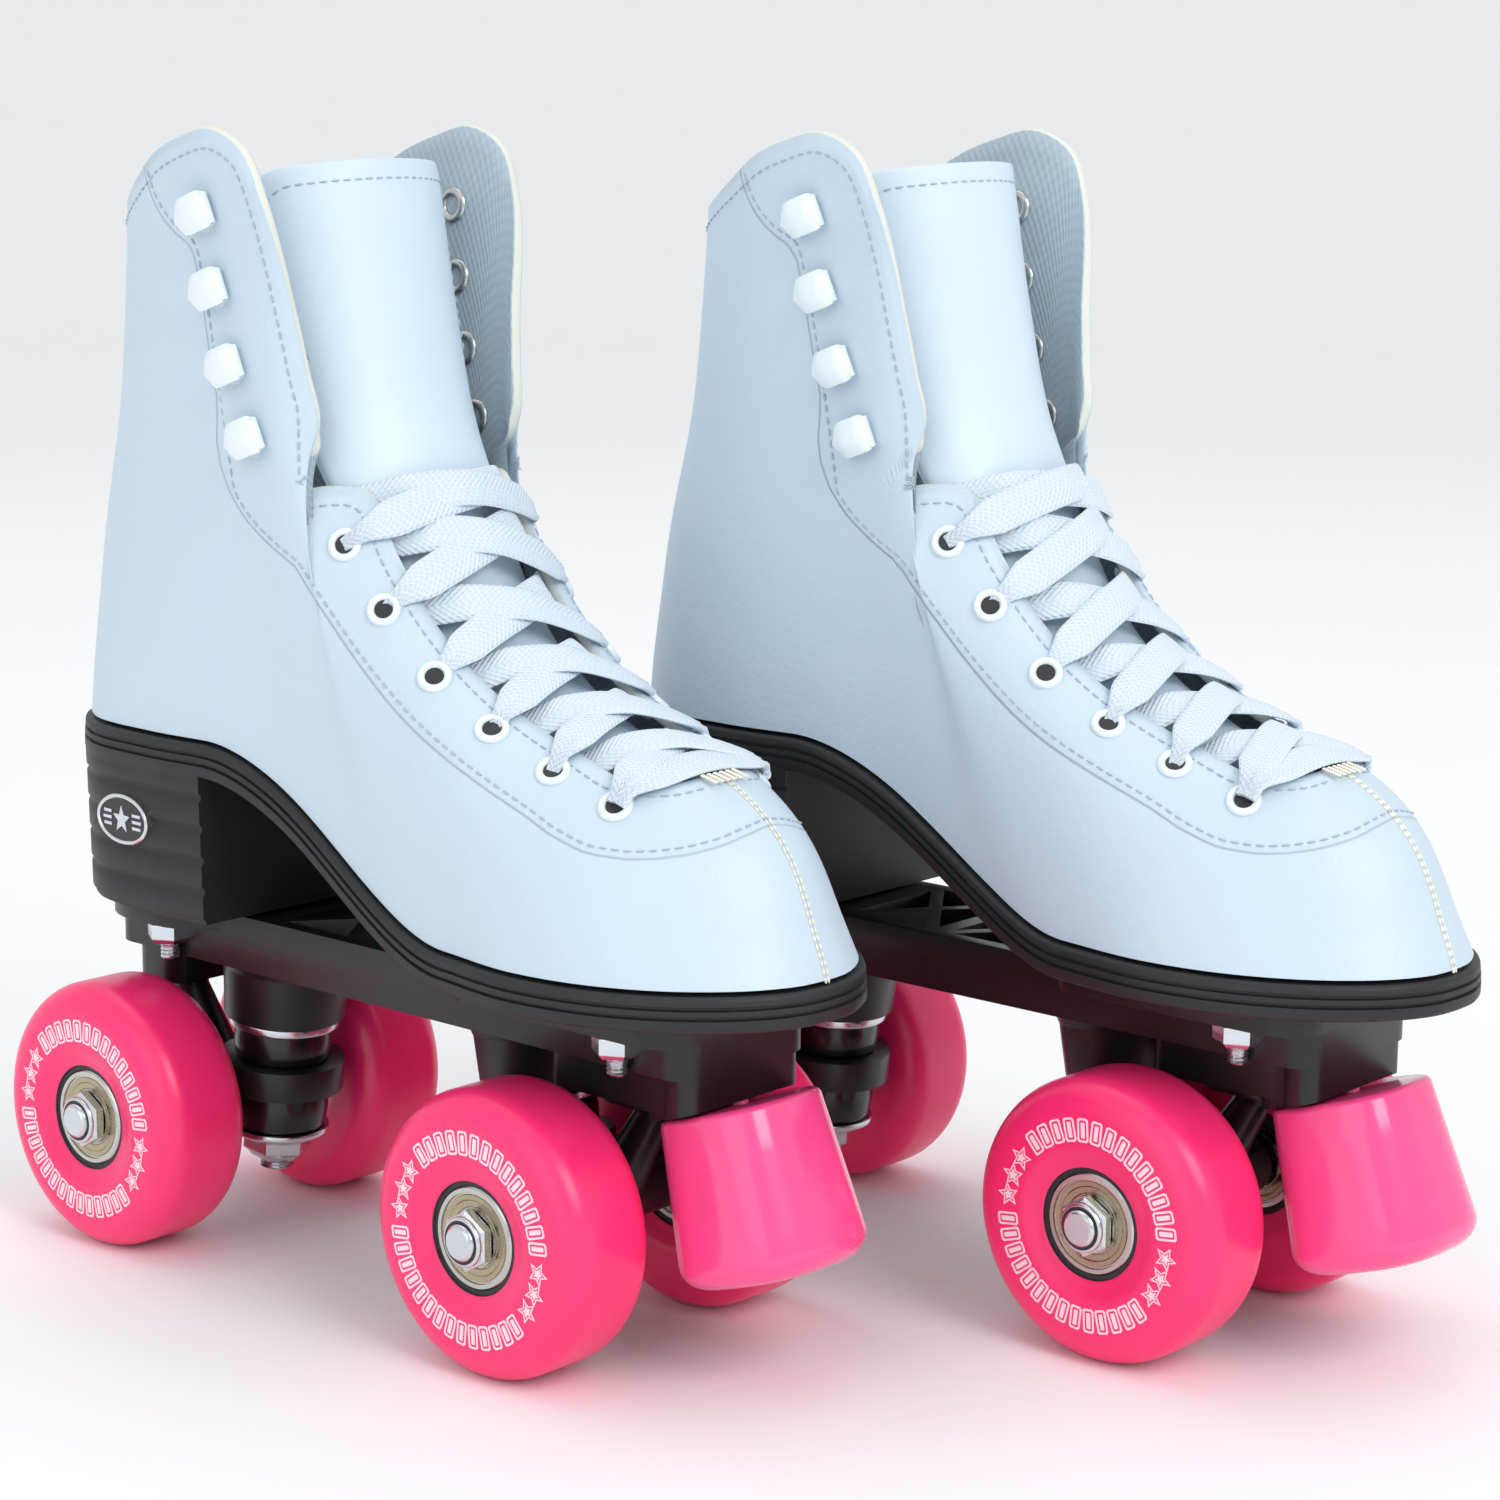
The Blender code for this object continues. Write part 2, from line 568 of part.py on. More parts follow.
def tongue_part(name, start, end, count):
    """A stretch of the padded tongue between two places along the instep line."""
    top_end = INSTEP_LENGTH[-1]
    rings = []
    for along in np.linspace(start, end, count):
        share = smooth_step(along / top_end)
        radius = TONGUE_ROUND_LOW + (TONGUE_ROUND_TOP - TONGUE_ROUND_LOW) * share
        half = float(np.interp(along, (0.0, hinge_along(), top_end),
                               (TONGUE_HALF_LOW, TONGUE_HALF_FOLD, TONGUE_HALF_TOP)))
        half *= 1.0 - 0.12 * smooth_step((along - top_end + 10.0) / 10.0)
        sink = TONGUE_SINK + (WALL + 1.0) * smooth_step((10.0 - along) / 10.0)
        xs = [half * math.sin(math.radians(a)) for a in np.linspace(-90, 90, 7)]
        front = [instep_point(along, x, radius, -sink)[0] for x in xs]
        back = [instep_point(along, x * 0.98, radius, -sink - TONGUE_THICKNESS)[0] for x in reversed(xs)]
        rings.append(front + back)
    return make_mesh(name, *loft(rings))


def hinge_along():
    """Where the tongue folds, along the instep line."""
    return FACING_LENGTH + FOLD_ABOVE_FACING


def lace_route():
    """Centre line of the lace with its surface normals and widths: up one side, across, up the other.

    Both strands start from the bar across the lowest eyelets and cross at every step.
    """
    def crossing(side, index, over):
        samples = []
        start, end = eyelet_along(index), eyelet_along(index + 1)
        if index == EYELETS - 1:
            end = start + 0.72 * EYELET_PITCH
        for k in range(LACE_STEPS + 1):
            u = k / LACE_STEPS
            along = start + (end - start) * u
            reach = eyelet_half(along) if index < EYELETS - 1 else eyelet_half(along) - 5.0 * u
            x = side * reach * (1 - 2 * u)
            lift = LACE_LIFT + (LACE_CROSS_LIFT if over else 0.0) * max(0.0, 1 - abs(2 * u - 1) * 1.25)**0.5
            width = LACE_PINCH + (LACE_WIDTH - LACE_PINCH) * math.sin(math.pi * u)**0.6
            if index == EYELETS - 1 and u > 0.5:
                width = LACE_WIDTH
            point, normal = instep_point(along, x, facing_radius(along), lift)
            samples.append((point, normal, width))
        return samples if index == EYELETS - 1 else samples[:-1]

    def strand(side, over):
        samples = []
        for index in range(EYELETS):
            samples += crossing(side, index, over)
            side = -side
        return samples

    bar = []
    for u in np.linspace(0.12, 0.88, 6):
        along = eyelet_along(0)
        x = eyelet_half(along) * (1 - 2 * u)
        width = LACE_PINCH + (LACE_WIDTH - LACE_PINCH) * 0.5 * math.sin(math.pi * u)
        point, normal = instep_point(along - 2.0 * math.sin(math.pi * u), x, facing_radius(along), LACE_LIFT)
        bar.append((point, normal, width))
    return strand(1, True)[::-1] + bar + strand(-1, False)


def lace():
    """Flat woven lace as one long ribbon, pinched where it meets an eyelet."""
    samples = lace_route()
    centres = np.array([s[0] for s in samples])
    heading = np.gradient(centres, axis=0)
    rings = []
    for (centre, normal, width), forward in zip(samples, heading):
        forward = forward / np.linalg.norm(forward)
        across = np.cross(normal, forward)
        across /= np.linalg.norm(across)
        rings.append([centre + across * a * width / 2 + normal * b * LACE_THICKNESS / 2
                      for a, b in ((-1, -1), (1, -1), (1, 1), (-1, 1))])
    return make_mesh("lace", *loft(rings))


# ==================================================================================================
# Plate, trucks, toe stop
# ==================================================================================================

def axle_y(end):
    """Place of an axle: end is -1 for the front truck and +1 for the rear one."""
    return end * WHEELBASE / 2


def kingpin_frame(end):
    """Centre of the truck's ring and the direction up the kingpin."""
    tilt = math.radians(KINGPIN_TILT)
    centre = Vector((0.0, end * (WHEELBASE / 2 - KINGPIN_INSET), RING_HEIGHT))
    return centre, Vector((0.0, -end * math.sin(tilt), math.cos(tilt)))


def pivot_point(end):
    """Centre of the ball at the end of the hanger's pivot arm."""
    return Vector((0.0, end * (WHEELBASE / 2 + PIVOT_OUTSET), PIVOT_HEIGHT))


def washer_top():
    """Top of the upper washer, measured up the kingpin from the middle of the ring."""
    return RING_THICKNESS / 2 + GAP + UPPER_CUSHION + GAP + WASHER_THICKNESS


def plate():
    """Moulded plate: flange, ribbed beam, kingpin bosses, pivot housings and the toe stop's block."""
    flange = prism(rounded_rectangle(-FLANGE_HALF, FLANGE_HALF, HEEL_FRONT + 6, PLATE_REAR, 20.0, 4),
                   PLATE_TOP - FLANGE_THICKNESS, PLATE_TOP)
    steps = [(prism(rounded_rectangle(-FLANGE_HALF, FLANGE_HALF, PLATE_FRONT, ARCH_START + 12, 9.0, 2),
                    PLATE_TOP - FLANGE_THICKNESS, PLATE_TOP), 'UNION'),
             (prism(rounded_rectangle(-BEAM_HALF, BEAM_HALF, PLATE_FRONT + 1.5, PLATE_REAR - 4, 6.0, 2),
                    PLATE_TOP - BEAM_DEPTH, PLATE_TOP - 0.4), 'UNION')]
    pockets = []
    for end in (-1, 1):
        centre, up = kingpin_frame(end)
        low = centre + up * (washer_top() + GAP)
        high = centre + up * (PLATE_TOP - RING_HEIGHT - 4.0)
        steps.append((solid_rod(low, high, BOSS_RADIUS, FINE_SEGMENTS, BOSS_RADIUS + 1.5), 'UNION'))
        pivot = pivot_point(end)
        housing = rounded_rectangle(-11.0, 11.0, pivot.y - 8.0, pivot.y + 8.0, 5.0, 2)
        steps.append((prism(housing, PIVOT_HEIGHT + 1.5, PLATE_TOP - 1.5), 'UNION'))
        pockets.append((solid_rod(pivot - Vector((0, 0, 6)), pivot + Vector((0, end * 2.0, 10.0)),
                                  PIVOT_RADIUS + PIVOT_PLAY, FINE_SEGMENTS), 'DIFFERENCE'))
    half = WHEEL_TRACK / 2 - WHEEL_WIDTH / 2 - BLOCK_CLEARANCE
    block = rounded_rectangle(-half, half, PLATE_FRONT + 1.8, -WHEELBASE / 2 + 5.0, 4.0, 2)
    steps.append((prism(block, PLATE_TOP - BLOCK_DEPTH, PLATE_TOP - 2.0), 'UNION'))
    seat = rounded_rectangle(-half, half, PLATE_FRONT + 1.8, PLATE_FRONT + 17.5, 4.0, 2)
    steps.append((prism(seat, STOP_TOP - 8.0, PLATE_TOP - 2.5), 'UNION'))
    steps += pockets
    top, down = stop_frame()
    face = top - down * 2 * GAP
    steps.append((solid_rod(face, face + down * 40.0, 60.0, 4), 'DIFFERENCE'))
    steps.append((solid_rod(top + down * 8.0, top - down * (STEM_LENGTH + 2.0), STEM_RADIUS + 2 * GAP, FINE_SEGMENTS),
                  'DIFFERENCE'))
    # lattice of crossing ribs in the top of the beam
    cells = np.linspace(ARCH_START + 20.0, HEEL_FRONT - 4.0, 3)
    half = BEAM_HALF - RIB
    for y0, y1 in zip(cells[:-1], cells[1:]):
        middle = (0.0, 0.5 * (y0 + y1))
        corners = [(-half, y0 + RIB / 2), (half, y0 + RIB / 2), (half, y1 - RIB / 2), (-half, y1 - RIB / 2)]
        for k in range(4):
            a, b = corners[k], corners[(k + 1) % 4]
            shape = []
            centre = ((a[0] + b[0] + middle[0]) / 3, (a[1] + b[1] + middle[1]) / 3)
            for p in (a, b, middle):
                shape.append((p[0] + (centre[0] - p[0]) * 0.22, p[1] + (centre[1] - p[1]) * 0.22))
            steps.append((prism(shape, PLATE_TOP - POCKET_DEPTH, PLATE_TOP + 3.0), 'DIFFERENCE'))
    return combine("plate", flange, steps)


def hanger(end):
    """Truck hanger: ring round the kingpin, axle tube and pivot arm."""
    centre, up = kingpin_frame(end)
    half = RING_THICKNESS / 2
    ring = solid_rod(centre - up * half, centre + up * half, RING_RADIUS, 18)
    bore = solid_rod(centre - up * (half + 2), centre + up * (half + 2), RING_BORE, FINE_SEGMENTS)
    tube_half = WHEEL_TRACK / 2 - WHEEL_WIDTH / 2 - HUB_CLEARANCE
    y = axle_y(end)
    tube = solid_rod((-tube_half, y, WHEEL_RADIUS), (tube_half, y, WHEEL_RADIUS), AXLE_TUBE_RADIUS, FINE_SEGMENTS)
    axle_hole = solid_rod((-tube_half - 2, y, WHEEL_RADIUS), (tube_half + 2, y, WHEEL_RADIUS), AXLE_RADIUS + 2 * GAP, FINE_SEGMENTS)
    web = []
    for place, wide, low, high in ((centre.y + end * (RING_BORE + 1.2), 9.0, RING_HEIGHT - 2.6, RING_HEIGHT + 2.6),
                                   (centre.y + end * (RING_RADIUS - 0.4), 9.5, RING_HEIGHT - 2.0, RING_HEIGHT + 2.6),
                                   (y, 11.0, WHEEL_RADIUS - 5.0, WHEEL_RADIUS + 5.5)):
        web.append([(-wide, place, low), (wide, place, low), (wide, place, high), (-wide, place, high)])
    pivot = pivot_point(end)
    arm = solid_rod((0, y, WHEEL_RADIUS), pivot - Vector((0, 0, 1.0)), 6.0, 12, PIVOT_RADIUS - 0.4)
    pin = solid_rod(pivot - Vector((0, 0, 2.0)), pivot + Vector((0, end * 1.0, PIVOT_LENGTH - 1.5)), PIVOT_RADIUS, 12)
    return combine("hanger", ring, [(loft(web), 'UNION'), (tube, 'UNION'), (arm, 'UNION'), (pin, 'UNION'),
                                    (bore, 'DIFFERENCE'), (axle_hole, 'DIFFERENCE')])


def kingpin(end):
    """Kingpin with its upper washer, lower cup and adjusting nut, turned in one."""
    centre, up = kingpin_frame(end)
    top = washer_top()
    washer = CUSHION_RADIUS + WASHER_OVERHANG
    nut = KINGPIN_RADIUS + KINGPIN_NUT_WALL
    washer_low = top - WASHER_THICKNESS
    cup_high = -(RING_THICKNESS / 2 + GAP + LOWER_CUSHION + GAP)
    cup_low = cup_high - CUP_THICKNESS
    nut_low = cup_low - KINGPIN_NUT_HEIGHT
    profile = [(top, 0.01), (top, washer), (washer_low, washer), (washer_low, KINGPIN_RADIUS),
               (cup_high, KINGPIN_RADIUS), (cup_high, CUSHION_RADIUS + 0.3), (cup_low, CUSHION_RADIUS - 1.8),
               (cup_low, nut), (nut_low, nut - 0.6), (nut_low, KINGPIN_RADIUS),
               (nut_low - KINGPIN_END, KINGPIN_RADIUS - 0.8), (nut_low - KINGPIN_END, 0.01)]
    return make_mesh("kingpin", *turned(profile, FINE_SEGMENTS, up, centre))


def cushion(end, upper):
    """Rubber cushion above or below the ring."""
    centre, up = kingpin_frame(end)
    if upper:
        low, high = RING_THICKNESS / 2 + GAP, RING_THICKNESS / 2 + GAP + UPPER_CUSHION
    else:
        high, low = -RING_THICKNESS / 2 - GAP, -RING_THICKNESS / 2 - GAP - LOWER_CUSHION
    bore = KINGPIN_RADIUS + 0.6
    profile = [(low, bore), (high, bore), (high, CUSHION_RADIUS - 0.8), (0.5 * (low + high), CUSHION_RADIUS),
               (low, CUSHION_RADIUS - 0.8)]
    return make_mesh("cushion", *turned(profile, FINE_SEGMENTS, up, centre))


def wheel():
    """Urethane wheel, about its own middle, axle along X."""
    half = WHEEL_WIDTH / 2
    shoulder = WHEEL_RADIUS - WHEEL_EDGE
    arc = []
    for angle in (90.0, 45.0, 0.0):
        turn = math.radians(angle)
        radius = (shoulder + WHEEL_EDGE * math.sin(turn)) / math.cos(math.pi / WHEEL_SEGMENTS)
        arc.append((half - WHEEL_EDGE + WHEEL_EDGE * math.cos(turn), radius))
    seat = BEARING_RADIUS + BEARING_SEAT
    lip = BEARING_FACE + 0.2
    rest = BEARING_FACE - BEARING_WIDTH - GAP
    side = arc + [(half, SIDE_RING_RADIUS), (lip, seat), (rest, seat)]
    profile = [(-a, r) for a, r in side[::-1]] + side
    return make_mesh("wheel", *turned(profile, WHEEL_SEGMENTS))


def bearings():
    """The wheel's two shielded bearings and the spacer between them, about the wheel's middle."""
    bore = AXLE_RADIUS + 2 * GAP
    inner = BEARING_FACE - BEARING_WIDTH
    side = [(inner, bore + SPACER_WALL - 2 * GAP), (inner, BEARING_RADIUS), (BEARING_FACE, BEARING_RADIUS), (BEARING_FACE, bore)]
    profile = [(-a, r) for a, r in side[::-1]] + side
    return make_mesh("bearings", *turned(profile, FINE_SEGMENTS))


def axle():
    """Steel axle through both wheels, about its own middle."""
    tip = WHEEL_TRACK / 2 + AXLE_TIP
    return make_mesh("axle", *solid_rod((-tip, 0, 0), (tip, 0, 0), AXLE_RADIUS, FINE_SEGMENTS))


def axle_nut(side):
    """Hexagonal lock nut outside the wheel on one side, about the wheel's middle."""
    start = side * (BEARING_FACE + GAP)
    end = side * (BEARING_FACE + GAP + NUT_HEIGHT)
    bore = (AXLE_RADIUS + GAP) / math.cos(math.pi / 6)
    outside = AXLE_RADIUS + NUT_WALL
    profile = [(start, bore), (start, outside), (end, outside), (end, bore)]
    return make_mesh("axle_nut", *turned(profile, 6))


def stop_frame():
    """Middle of the toe stop's top and the direction down its axis."""
    tilt = math.radians(STOP_TILT)
    return Vector((0.0, STOP_Y, STOP_TOP)), Vector((0.0, -math.sin(tilt), -math.cos(tilt)))


def toe_stop():
    """Tapered rubber toe stop with its threaded stem."""
    top, down = stop_frame()
    turn = Matrix((Vector((1, 0, 0)), down.cross(Vector((1, 0, 0))), down)).transposed()
    rings = []

    def ring(depth, half, power):
        points = []
        for k in range(20):
            angle = 2 * math.pi * k / 20
            c, s = math.cos(angle), math.sin(angle)
            reach = half / (abs(c)**power + abs(s)**power)**(1 / power)
            points.append(top + turn @ Vector((reach * c, reach * s, depth)))
        return points

    rings.append(ring(-STEM_LENGTH, STEM_RADIUS, 2))
    rings.append(ring(0.0, STEM_RADIUS, 2))
    rings.append(ring(0.0, STOP_TOP_HALF - 0.6, 2.8))
    rings.append(ring(0.6, STOP_TOP_HALF, 2.8))
    edge = STOP_LENGTH - STOP_ROUND
    rings.append(ring(edge, STOP_FOOT_HALF, 2.8))
    for k in (1, 2, 3):
        angle = math.radians(30 * k)
        rings.append(ring(edge + STOP_ROUND * math.sin(angle),
                          STOP_FOOT_HALF - STOP_ROUND * (1 - math.cos(angle)), 2.8))
    return make_mesh("toe_stop", *loft(rings))


# ==================================================================================================
# Finishes and assembly
# ==================================================================================================

FINISHES = {
    "white_leather": ((0.80, 0.84, 0.93), 0.45, 0.0),
    "white_lace": ((0.78, 0.84, 0.93), 0.85, 0.0),
    "insole_fabric": ((0.62, 0.66, 0.68), 0.9, 0.0),
    "black_rubber": ((0.012, 0.012, 0.013), 0.55, 0.0),
    "black_nylon": ((0.010, 0.010, 0.011), 0.35, 0.0),
    "black_cushion": ((0.015, 0.015, 0.015), 0.5, 0.0),
    "pink_urethane": ((1.0, 0.055, 0.24), 0.3, 0.0),
    "pink_stopper": ((1.0, 0.05, 0.23), 0.22, 0.0),
    "bright_steel": ((0.72, 0.72, 0.72), 0.22, 1.0),
    "bearing_steel": ((0.62, 0.60, 0.54), 0.28, 1.0),
}


def finish(name):
    """Material of one finish, made once."""
    if name in bpy.data.materials:
        return bpy.data.materials[name]
    colour, roughness, metallic = FINISHES[name]
    material = bpy.data.materials.new(name)
    material.use_nodes = True
    shader = material.node_tree.nodes["Principled BSDF"]
    shader.inputs["Base Color"].default_value = (*colour, 1.0)
    shader.inputs["Roughness"].default_value = roughness
    shader.inputs["Metallic"].default_value = metallic
    return material


def skate_parts():
    """Every sub-part of the right skate: name, mesh, finish, its own origin and where the mesh was built."""
    hinge = instep_frame(hinge_along())[0]
    parts = [("boot_upper", boot_upper(), "white_leather", (0, 0, HEEL_TOP), None),
             ("footbed", footbed(), "insole_fabric", (0, 0, HEEL_TOP), None),
             ("outsole", outsole(), "black_rubber", (0, 0, HEEL_TOP), None),
             ("tongue_lower", tongue_part("tongue_lower", -5.0, hinge_along() - GAP, 9), "white_leather",
              (0, hinge[0], hinge[1]), None),
             ("tongue_upper", tongue_part("tongue_upper", hinge_along() + GAP, float(INSTEP_LENGTH[-1]), 7),
              "white_leather", (0, hinge[0], hinge[1]), None),
             ("lace", lace(), "white_lace", (0, 0, HEEL_TOP), None),
             ("plate", plate(), "black_nylon", (0, 0, PLATE_TOP), None),
             ("toe_stop", toe_stop(), "pink_stopper", (0, STOP_Y, STOP_TOP), None)]
    wheel_mesh, bearing_mesh, axle_mesh = wheel(), bearings(), axle()
    nuts = {-1: axle_nut(-1), 1: axle_nut(1)}
    for end, place in ((-1, "front"), (1, "rear")):
        ring = kingpin_frame(end)[0]
        parts += [(f"{place}_hanger", hanger(end), "black_nylon", tuple(ring), None),
                  (f"{place}_kingpin", kingpin(end), "bright_steel", tuple(ring), None),
                  (f"{place}_cushion_upper", cushion(end, True), "black_cushion", tuple(ring), None),
                  (f"{place}_cushion_lower", cushion(end, False), "black_cushion", tuple(ring), None),
                  (f"{place}_axle", axle_mesh, "bright_steel", (0, axle_y(end), WHEEL_RADIUS), "middle")]
        for side, edge in ((-1, "outer"), (1, "inner")):
            middle = (side * WHEEL_TRACK / 2, axle_y(end), WHEEL_RADIUS)
            parts += [(f"{place}_{edge}_wheel", wheel_mesh, "pink_urethane", middle, "middle"),
                      (f"{place}_{edge}_bearings", bearing_mesh, "bearing_steel", middle, "middle"),
                      (f"{place}_{edge}_axle_nut", nuts[side], "bright_steel", middle, "middle")]
    return parts


def reach_y(part):
    """How far back and forth one sub-part of the right skate reaches."""
    _, mesh, _, origin, built_at = part
    shift = 0.0 if built_at is None else origin[1]
    along = [vertex.co.y / MM + shift for vertex in mesh.vertices]
    return min(along), max(along)


def build_skate(prefix, parts, offset, mirrored):
    """Stands a copy of the parts at offset; the left skate is the right one mirrored."""
    for name, mesh, material, origin, built_at in parts:
        copy = mesh.copy()
        copy.name = f"{prefix}_{name}"
        split_bent_faces(copy)
        if built_at is None:
            copy.transform(Matrix.Translation(-Vector(origin) * MM))
        if mirrored:
            copy.transform(Matrix.Scale(-1.0, 4, Vector((1, 0, 0))))
            copy.flip_normals()
        copy.shade_smooth()
        copy.set_sharp_from_angle(angle=math.radians(35))
        copy.materials.clear()
        copy.materials.append(finish(material))
        piece = bpy.data.objects.new(copy.name, copy)
        across = -origin[0] if mirrored else origin[0]
        piece.location = Vector((across + offset[0], origin[1] + offset[1], origin[2])) * MM
        bpy.context.collection.objects.link(piece)


def main():
    """Clears the file and builds the pair, standing about the origin on Z = 0."""
    for old in list(bpy.data.objects):
        bpy.data.objects.remove(old)
    parts = skate_parts()
    reach = [corner for part in parts for corner in reach_y(part)]
    middle_y = -0.5 * (min(reach) + max(reach))
    half_x, half_y = PAIR_SPACING_X / 2, PAIR_STAGGER_Y / 2
    build_skate("right", parts, (-half_x, half_y + middle_y), False)
    build_skate("left", parts, (half_x, -half_y + middle_y), True)


main()
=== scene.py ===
"""Pair of quad roller skates: the visual model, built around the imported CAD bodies.

Every mesh is drawn once for the right skate, in millimetres about that skate's own middle, toe towards -Y and
outer side towards -X, then stood in its place; the left skate is the mirror image.
"""
import logging
import math
from collections.abc import Sequence
from dataclasses import dataclass, field
from enum import Enum

import bmesh
import bpy
import numpy as np
from mathutils import Matrix, Vector, noise
from mathutils.bvhtree import BVHTree

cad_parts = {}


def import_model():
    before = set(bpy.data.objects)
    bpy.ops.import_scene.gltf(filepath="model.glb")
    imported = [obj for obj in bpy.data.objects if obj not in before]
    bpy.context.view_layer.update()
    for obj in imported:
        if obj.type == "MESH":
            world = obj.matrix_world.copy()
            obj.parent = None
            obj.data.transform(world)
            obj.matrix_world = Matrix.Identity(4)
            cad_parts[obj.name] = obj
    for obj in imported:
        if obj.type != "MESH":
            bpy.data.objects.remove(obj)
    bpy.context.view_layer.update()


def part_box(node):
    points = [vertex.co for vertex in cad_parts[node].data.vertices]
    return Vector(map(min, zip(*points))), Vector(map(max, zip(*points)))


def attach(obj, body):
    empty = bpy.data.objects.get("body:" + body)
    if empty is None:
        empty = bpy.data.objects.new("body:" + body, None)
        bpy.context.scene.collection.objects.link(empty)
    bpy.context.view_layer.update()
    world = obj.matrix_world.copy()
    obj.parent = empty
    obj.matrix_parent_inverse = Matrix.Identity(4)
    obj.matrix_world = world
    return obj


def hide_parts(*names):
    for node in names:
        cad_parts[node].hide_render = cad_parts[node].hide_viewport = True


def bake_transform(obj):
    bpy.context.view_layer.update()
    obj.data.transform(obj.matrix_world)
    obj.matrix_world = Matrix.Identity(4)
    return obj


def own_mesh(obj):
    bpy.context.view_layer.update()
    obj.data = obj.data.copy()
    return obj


MM = 0.001
GAP = 0.3                          # millimetres left open between neighbouring pieces
OFF_SEAM = 40.0                    # a distance from the seam, in millimetres, that its shading no longer reaches
LOG = logging.getLogger("skates")


# ---- Curves and meshes ----

def linked(name: str, data: bpy.types.ID) -> bpy.types.Object:
    """A new object in the scene's collection."""
    made = bpy.data.objects.new(name, data)
    bpy.context.collection.objects.link(made)
    return made


def metres(point: Sequence[float]) -> tuple[float, ...]:
    """A point in millimetres, in metres."""
    return tuple(float(c) * MM for c in point)


def smooth_step(value: float) -> float:
    """0 to 1 with level ends."""
    u = min(max(value, 0.0), 1.0)
    return u * u * (3 - 2 * u)


def hermite(knots: np.ndarray, values: np.ndarray, places: np.ndarray) -> np.ndarray:
    """Smooth curve through given values.

    Args:
        knots: rising positions of the values.
        values: one row for each knot.
        places: positions to read the curve at.

    Returns:
        One row for each place.
    """
    slopes = np.gradient(values, knots, axis=0, edge_order=1)
    index = np.clip(np.searchsorted(knots, places, side="right") - 1, 0, len(knots) - 2)
    span = knots[index + 1] - knots[index]
    u = ((places - knots[index]) / span)[:, None]
    span = span[:, None]
    start = (2 * u**3 - 3 * u**2 + 1) * values[index] + (u**3 - 2 * u**2 + u) * span * slopes[index]
    end = (3 * u**2 - 2 * u**3) * values[index + 1] + (u**3 - u**2) * span * slopes[index + 1]
    return start + end


def lengths(points: np.ndarray) -> np.ndarray:
    """Distance of each point from the first, along the line through them."""
    return np.concatenate([[0.0], np.cumsum(np.linalg.norm(np.diff(points, axis=0), axis=1))])


def spline(points: list[tuple[float, ...]], count: int) -> np.ndarray:
    """Smooth curve through given points, sampled evenly along its length."""
    pts = np.array(points, float)
    knots = lengths(pts)
    dense = np.concatenate([np.linspace(a, b, 17)[:-1] for a, b in zip(knots[:-1], knots[1:])] + [knots[-1:]])
    curve = hermite(knots, pts, dense)
    along = lengths(curve)
    even = np.linspace(0.0, along[-1], count)
    return np.stack([np.interp(even, along, curve[:, k]) for k in range(pts.shape[1])], axis=1)


def distance_to_line(points: np.ndarray, line: np.ndarray) -> np.ndarray:
    """Shortest distance from each point to a line of straight pieces."""
    best = np.full(len(points), 1e9)
    for a, b in zip(line[:-1], line[1:]):
        run = b - a
        share = np.clip((points - a) @ run / max(float(run @ run), 1e-12), 0.0, 1.0)
        best = np.minimum(best, np.linalg.norm(points - a - share[:, None] * run, axis=1))
    return best


@dataclass
class Shape:
    """Points in millimetres with faces, and what the faces and points carry."""
    points: list
    faces: list
    slots: list = field(default_factory=list)
    uv: list = field(default_factory=list)
    marks: dict = field(default_factory=dict)

    def mesh(self, name: str, materials: list, sharp: float = 35.0) -> bpy.types.Mesh:
        """Turns the shape into a mesh.

        Args:
            name: the mesh's name.
            materials: materials in slot order.
            sharp: angle in degrees above which an edge stays sharp.

        Returns:
            A closed mesh in metres with its faces outwards.
        """
        mesh = bpy.data.meshes.new(name)
        mesh.from_pydata([metres(p) for p in self.points], [], [list(f) for f in self.faces])
        for mark, values in self.marks.items():
            layer = mesh.attributes.new(mark, "FLOAT", "POINT")
            layer.data.foreach_set("value", np.asarray(values, np.float32))
        if self.slots:
            mesh.polygons.foreach_set("material_index", np.asarray(self.slots, np.int32))
        if self.uv:
            layer = mesh.uv_layers.new(name="Surface")
            corner = np.zeros(len(mesh.loops), np.int32)
            mesh.loops.foreach_get("vertex_index", corner)
            layer.data.foreach_set("uv", np.asarray(self.uv, np.float32)[corner].ravel())
        bm = bmesh.new()
        bm.from_mesh(mesh)
        bmesh.ops.remove_doubles(bm, verts=bm.verts, dist=1e-6)
        bmesh.ops.recalc_face_normals(bm, faces=bm.faces)
        bm.to_mesh(mesh)
        bm.free()
        for material in materials:
            mesh.materials.append(material)
        mesh.shade_smooth()
        mesh.set_sharp_from_angle(angle=math.radians(sharp))
        return mesh

    def joined(self, other: "Shape") -> "Shape":
        """This shape with another one beside it."""
        base = len(self.points)
        return Shape(list(self.points) + list(other.points),
                     list(self.faces) + [tuple(base + k for k in f) for f in other.faces],
                     self.slots + other.slots, self.uv + other.uv)


def grid_faces(rows: int, columns: int, wrap: bool) -> list[tuple[int, ...]]:
    """Quads between neighbouring rows of points; wrap joins the last column to the first."""
    faces = []
    for r in range(rows - 1):
        for c in range(columns if wrap else columns - 1):
            d = (c + 1) % columns
            faces.append((r * columns + c, r * columns + d, (r + 1) * columns + d, (r + 1) * columns + c))
    return faces


def cap_faces(base: int, half: int, count: int) -> list[tuple[int, ...]]:
    """Faces that close a symmetric ring of points from side to side, starting at point number base."""
    faces = []
    for k in range(half - 1):
        corners = (base + k, base + k + 1, base + (count - k - 1) % count, base + (count - k) % count)
        faces.append(tuple(dict.fromkeys(corners)))
    return faces


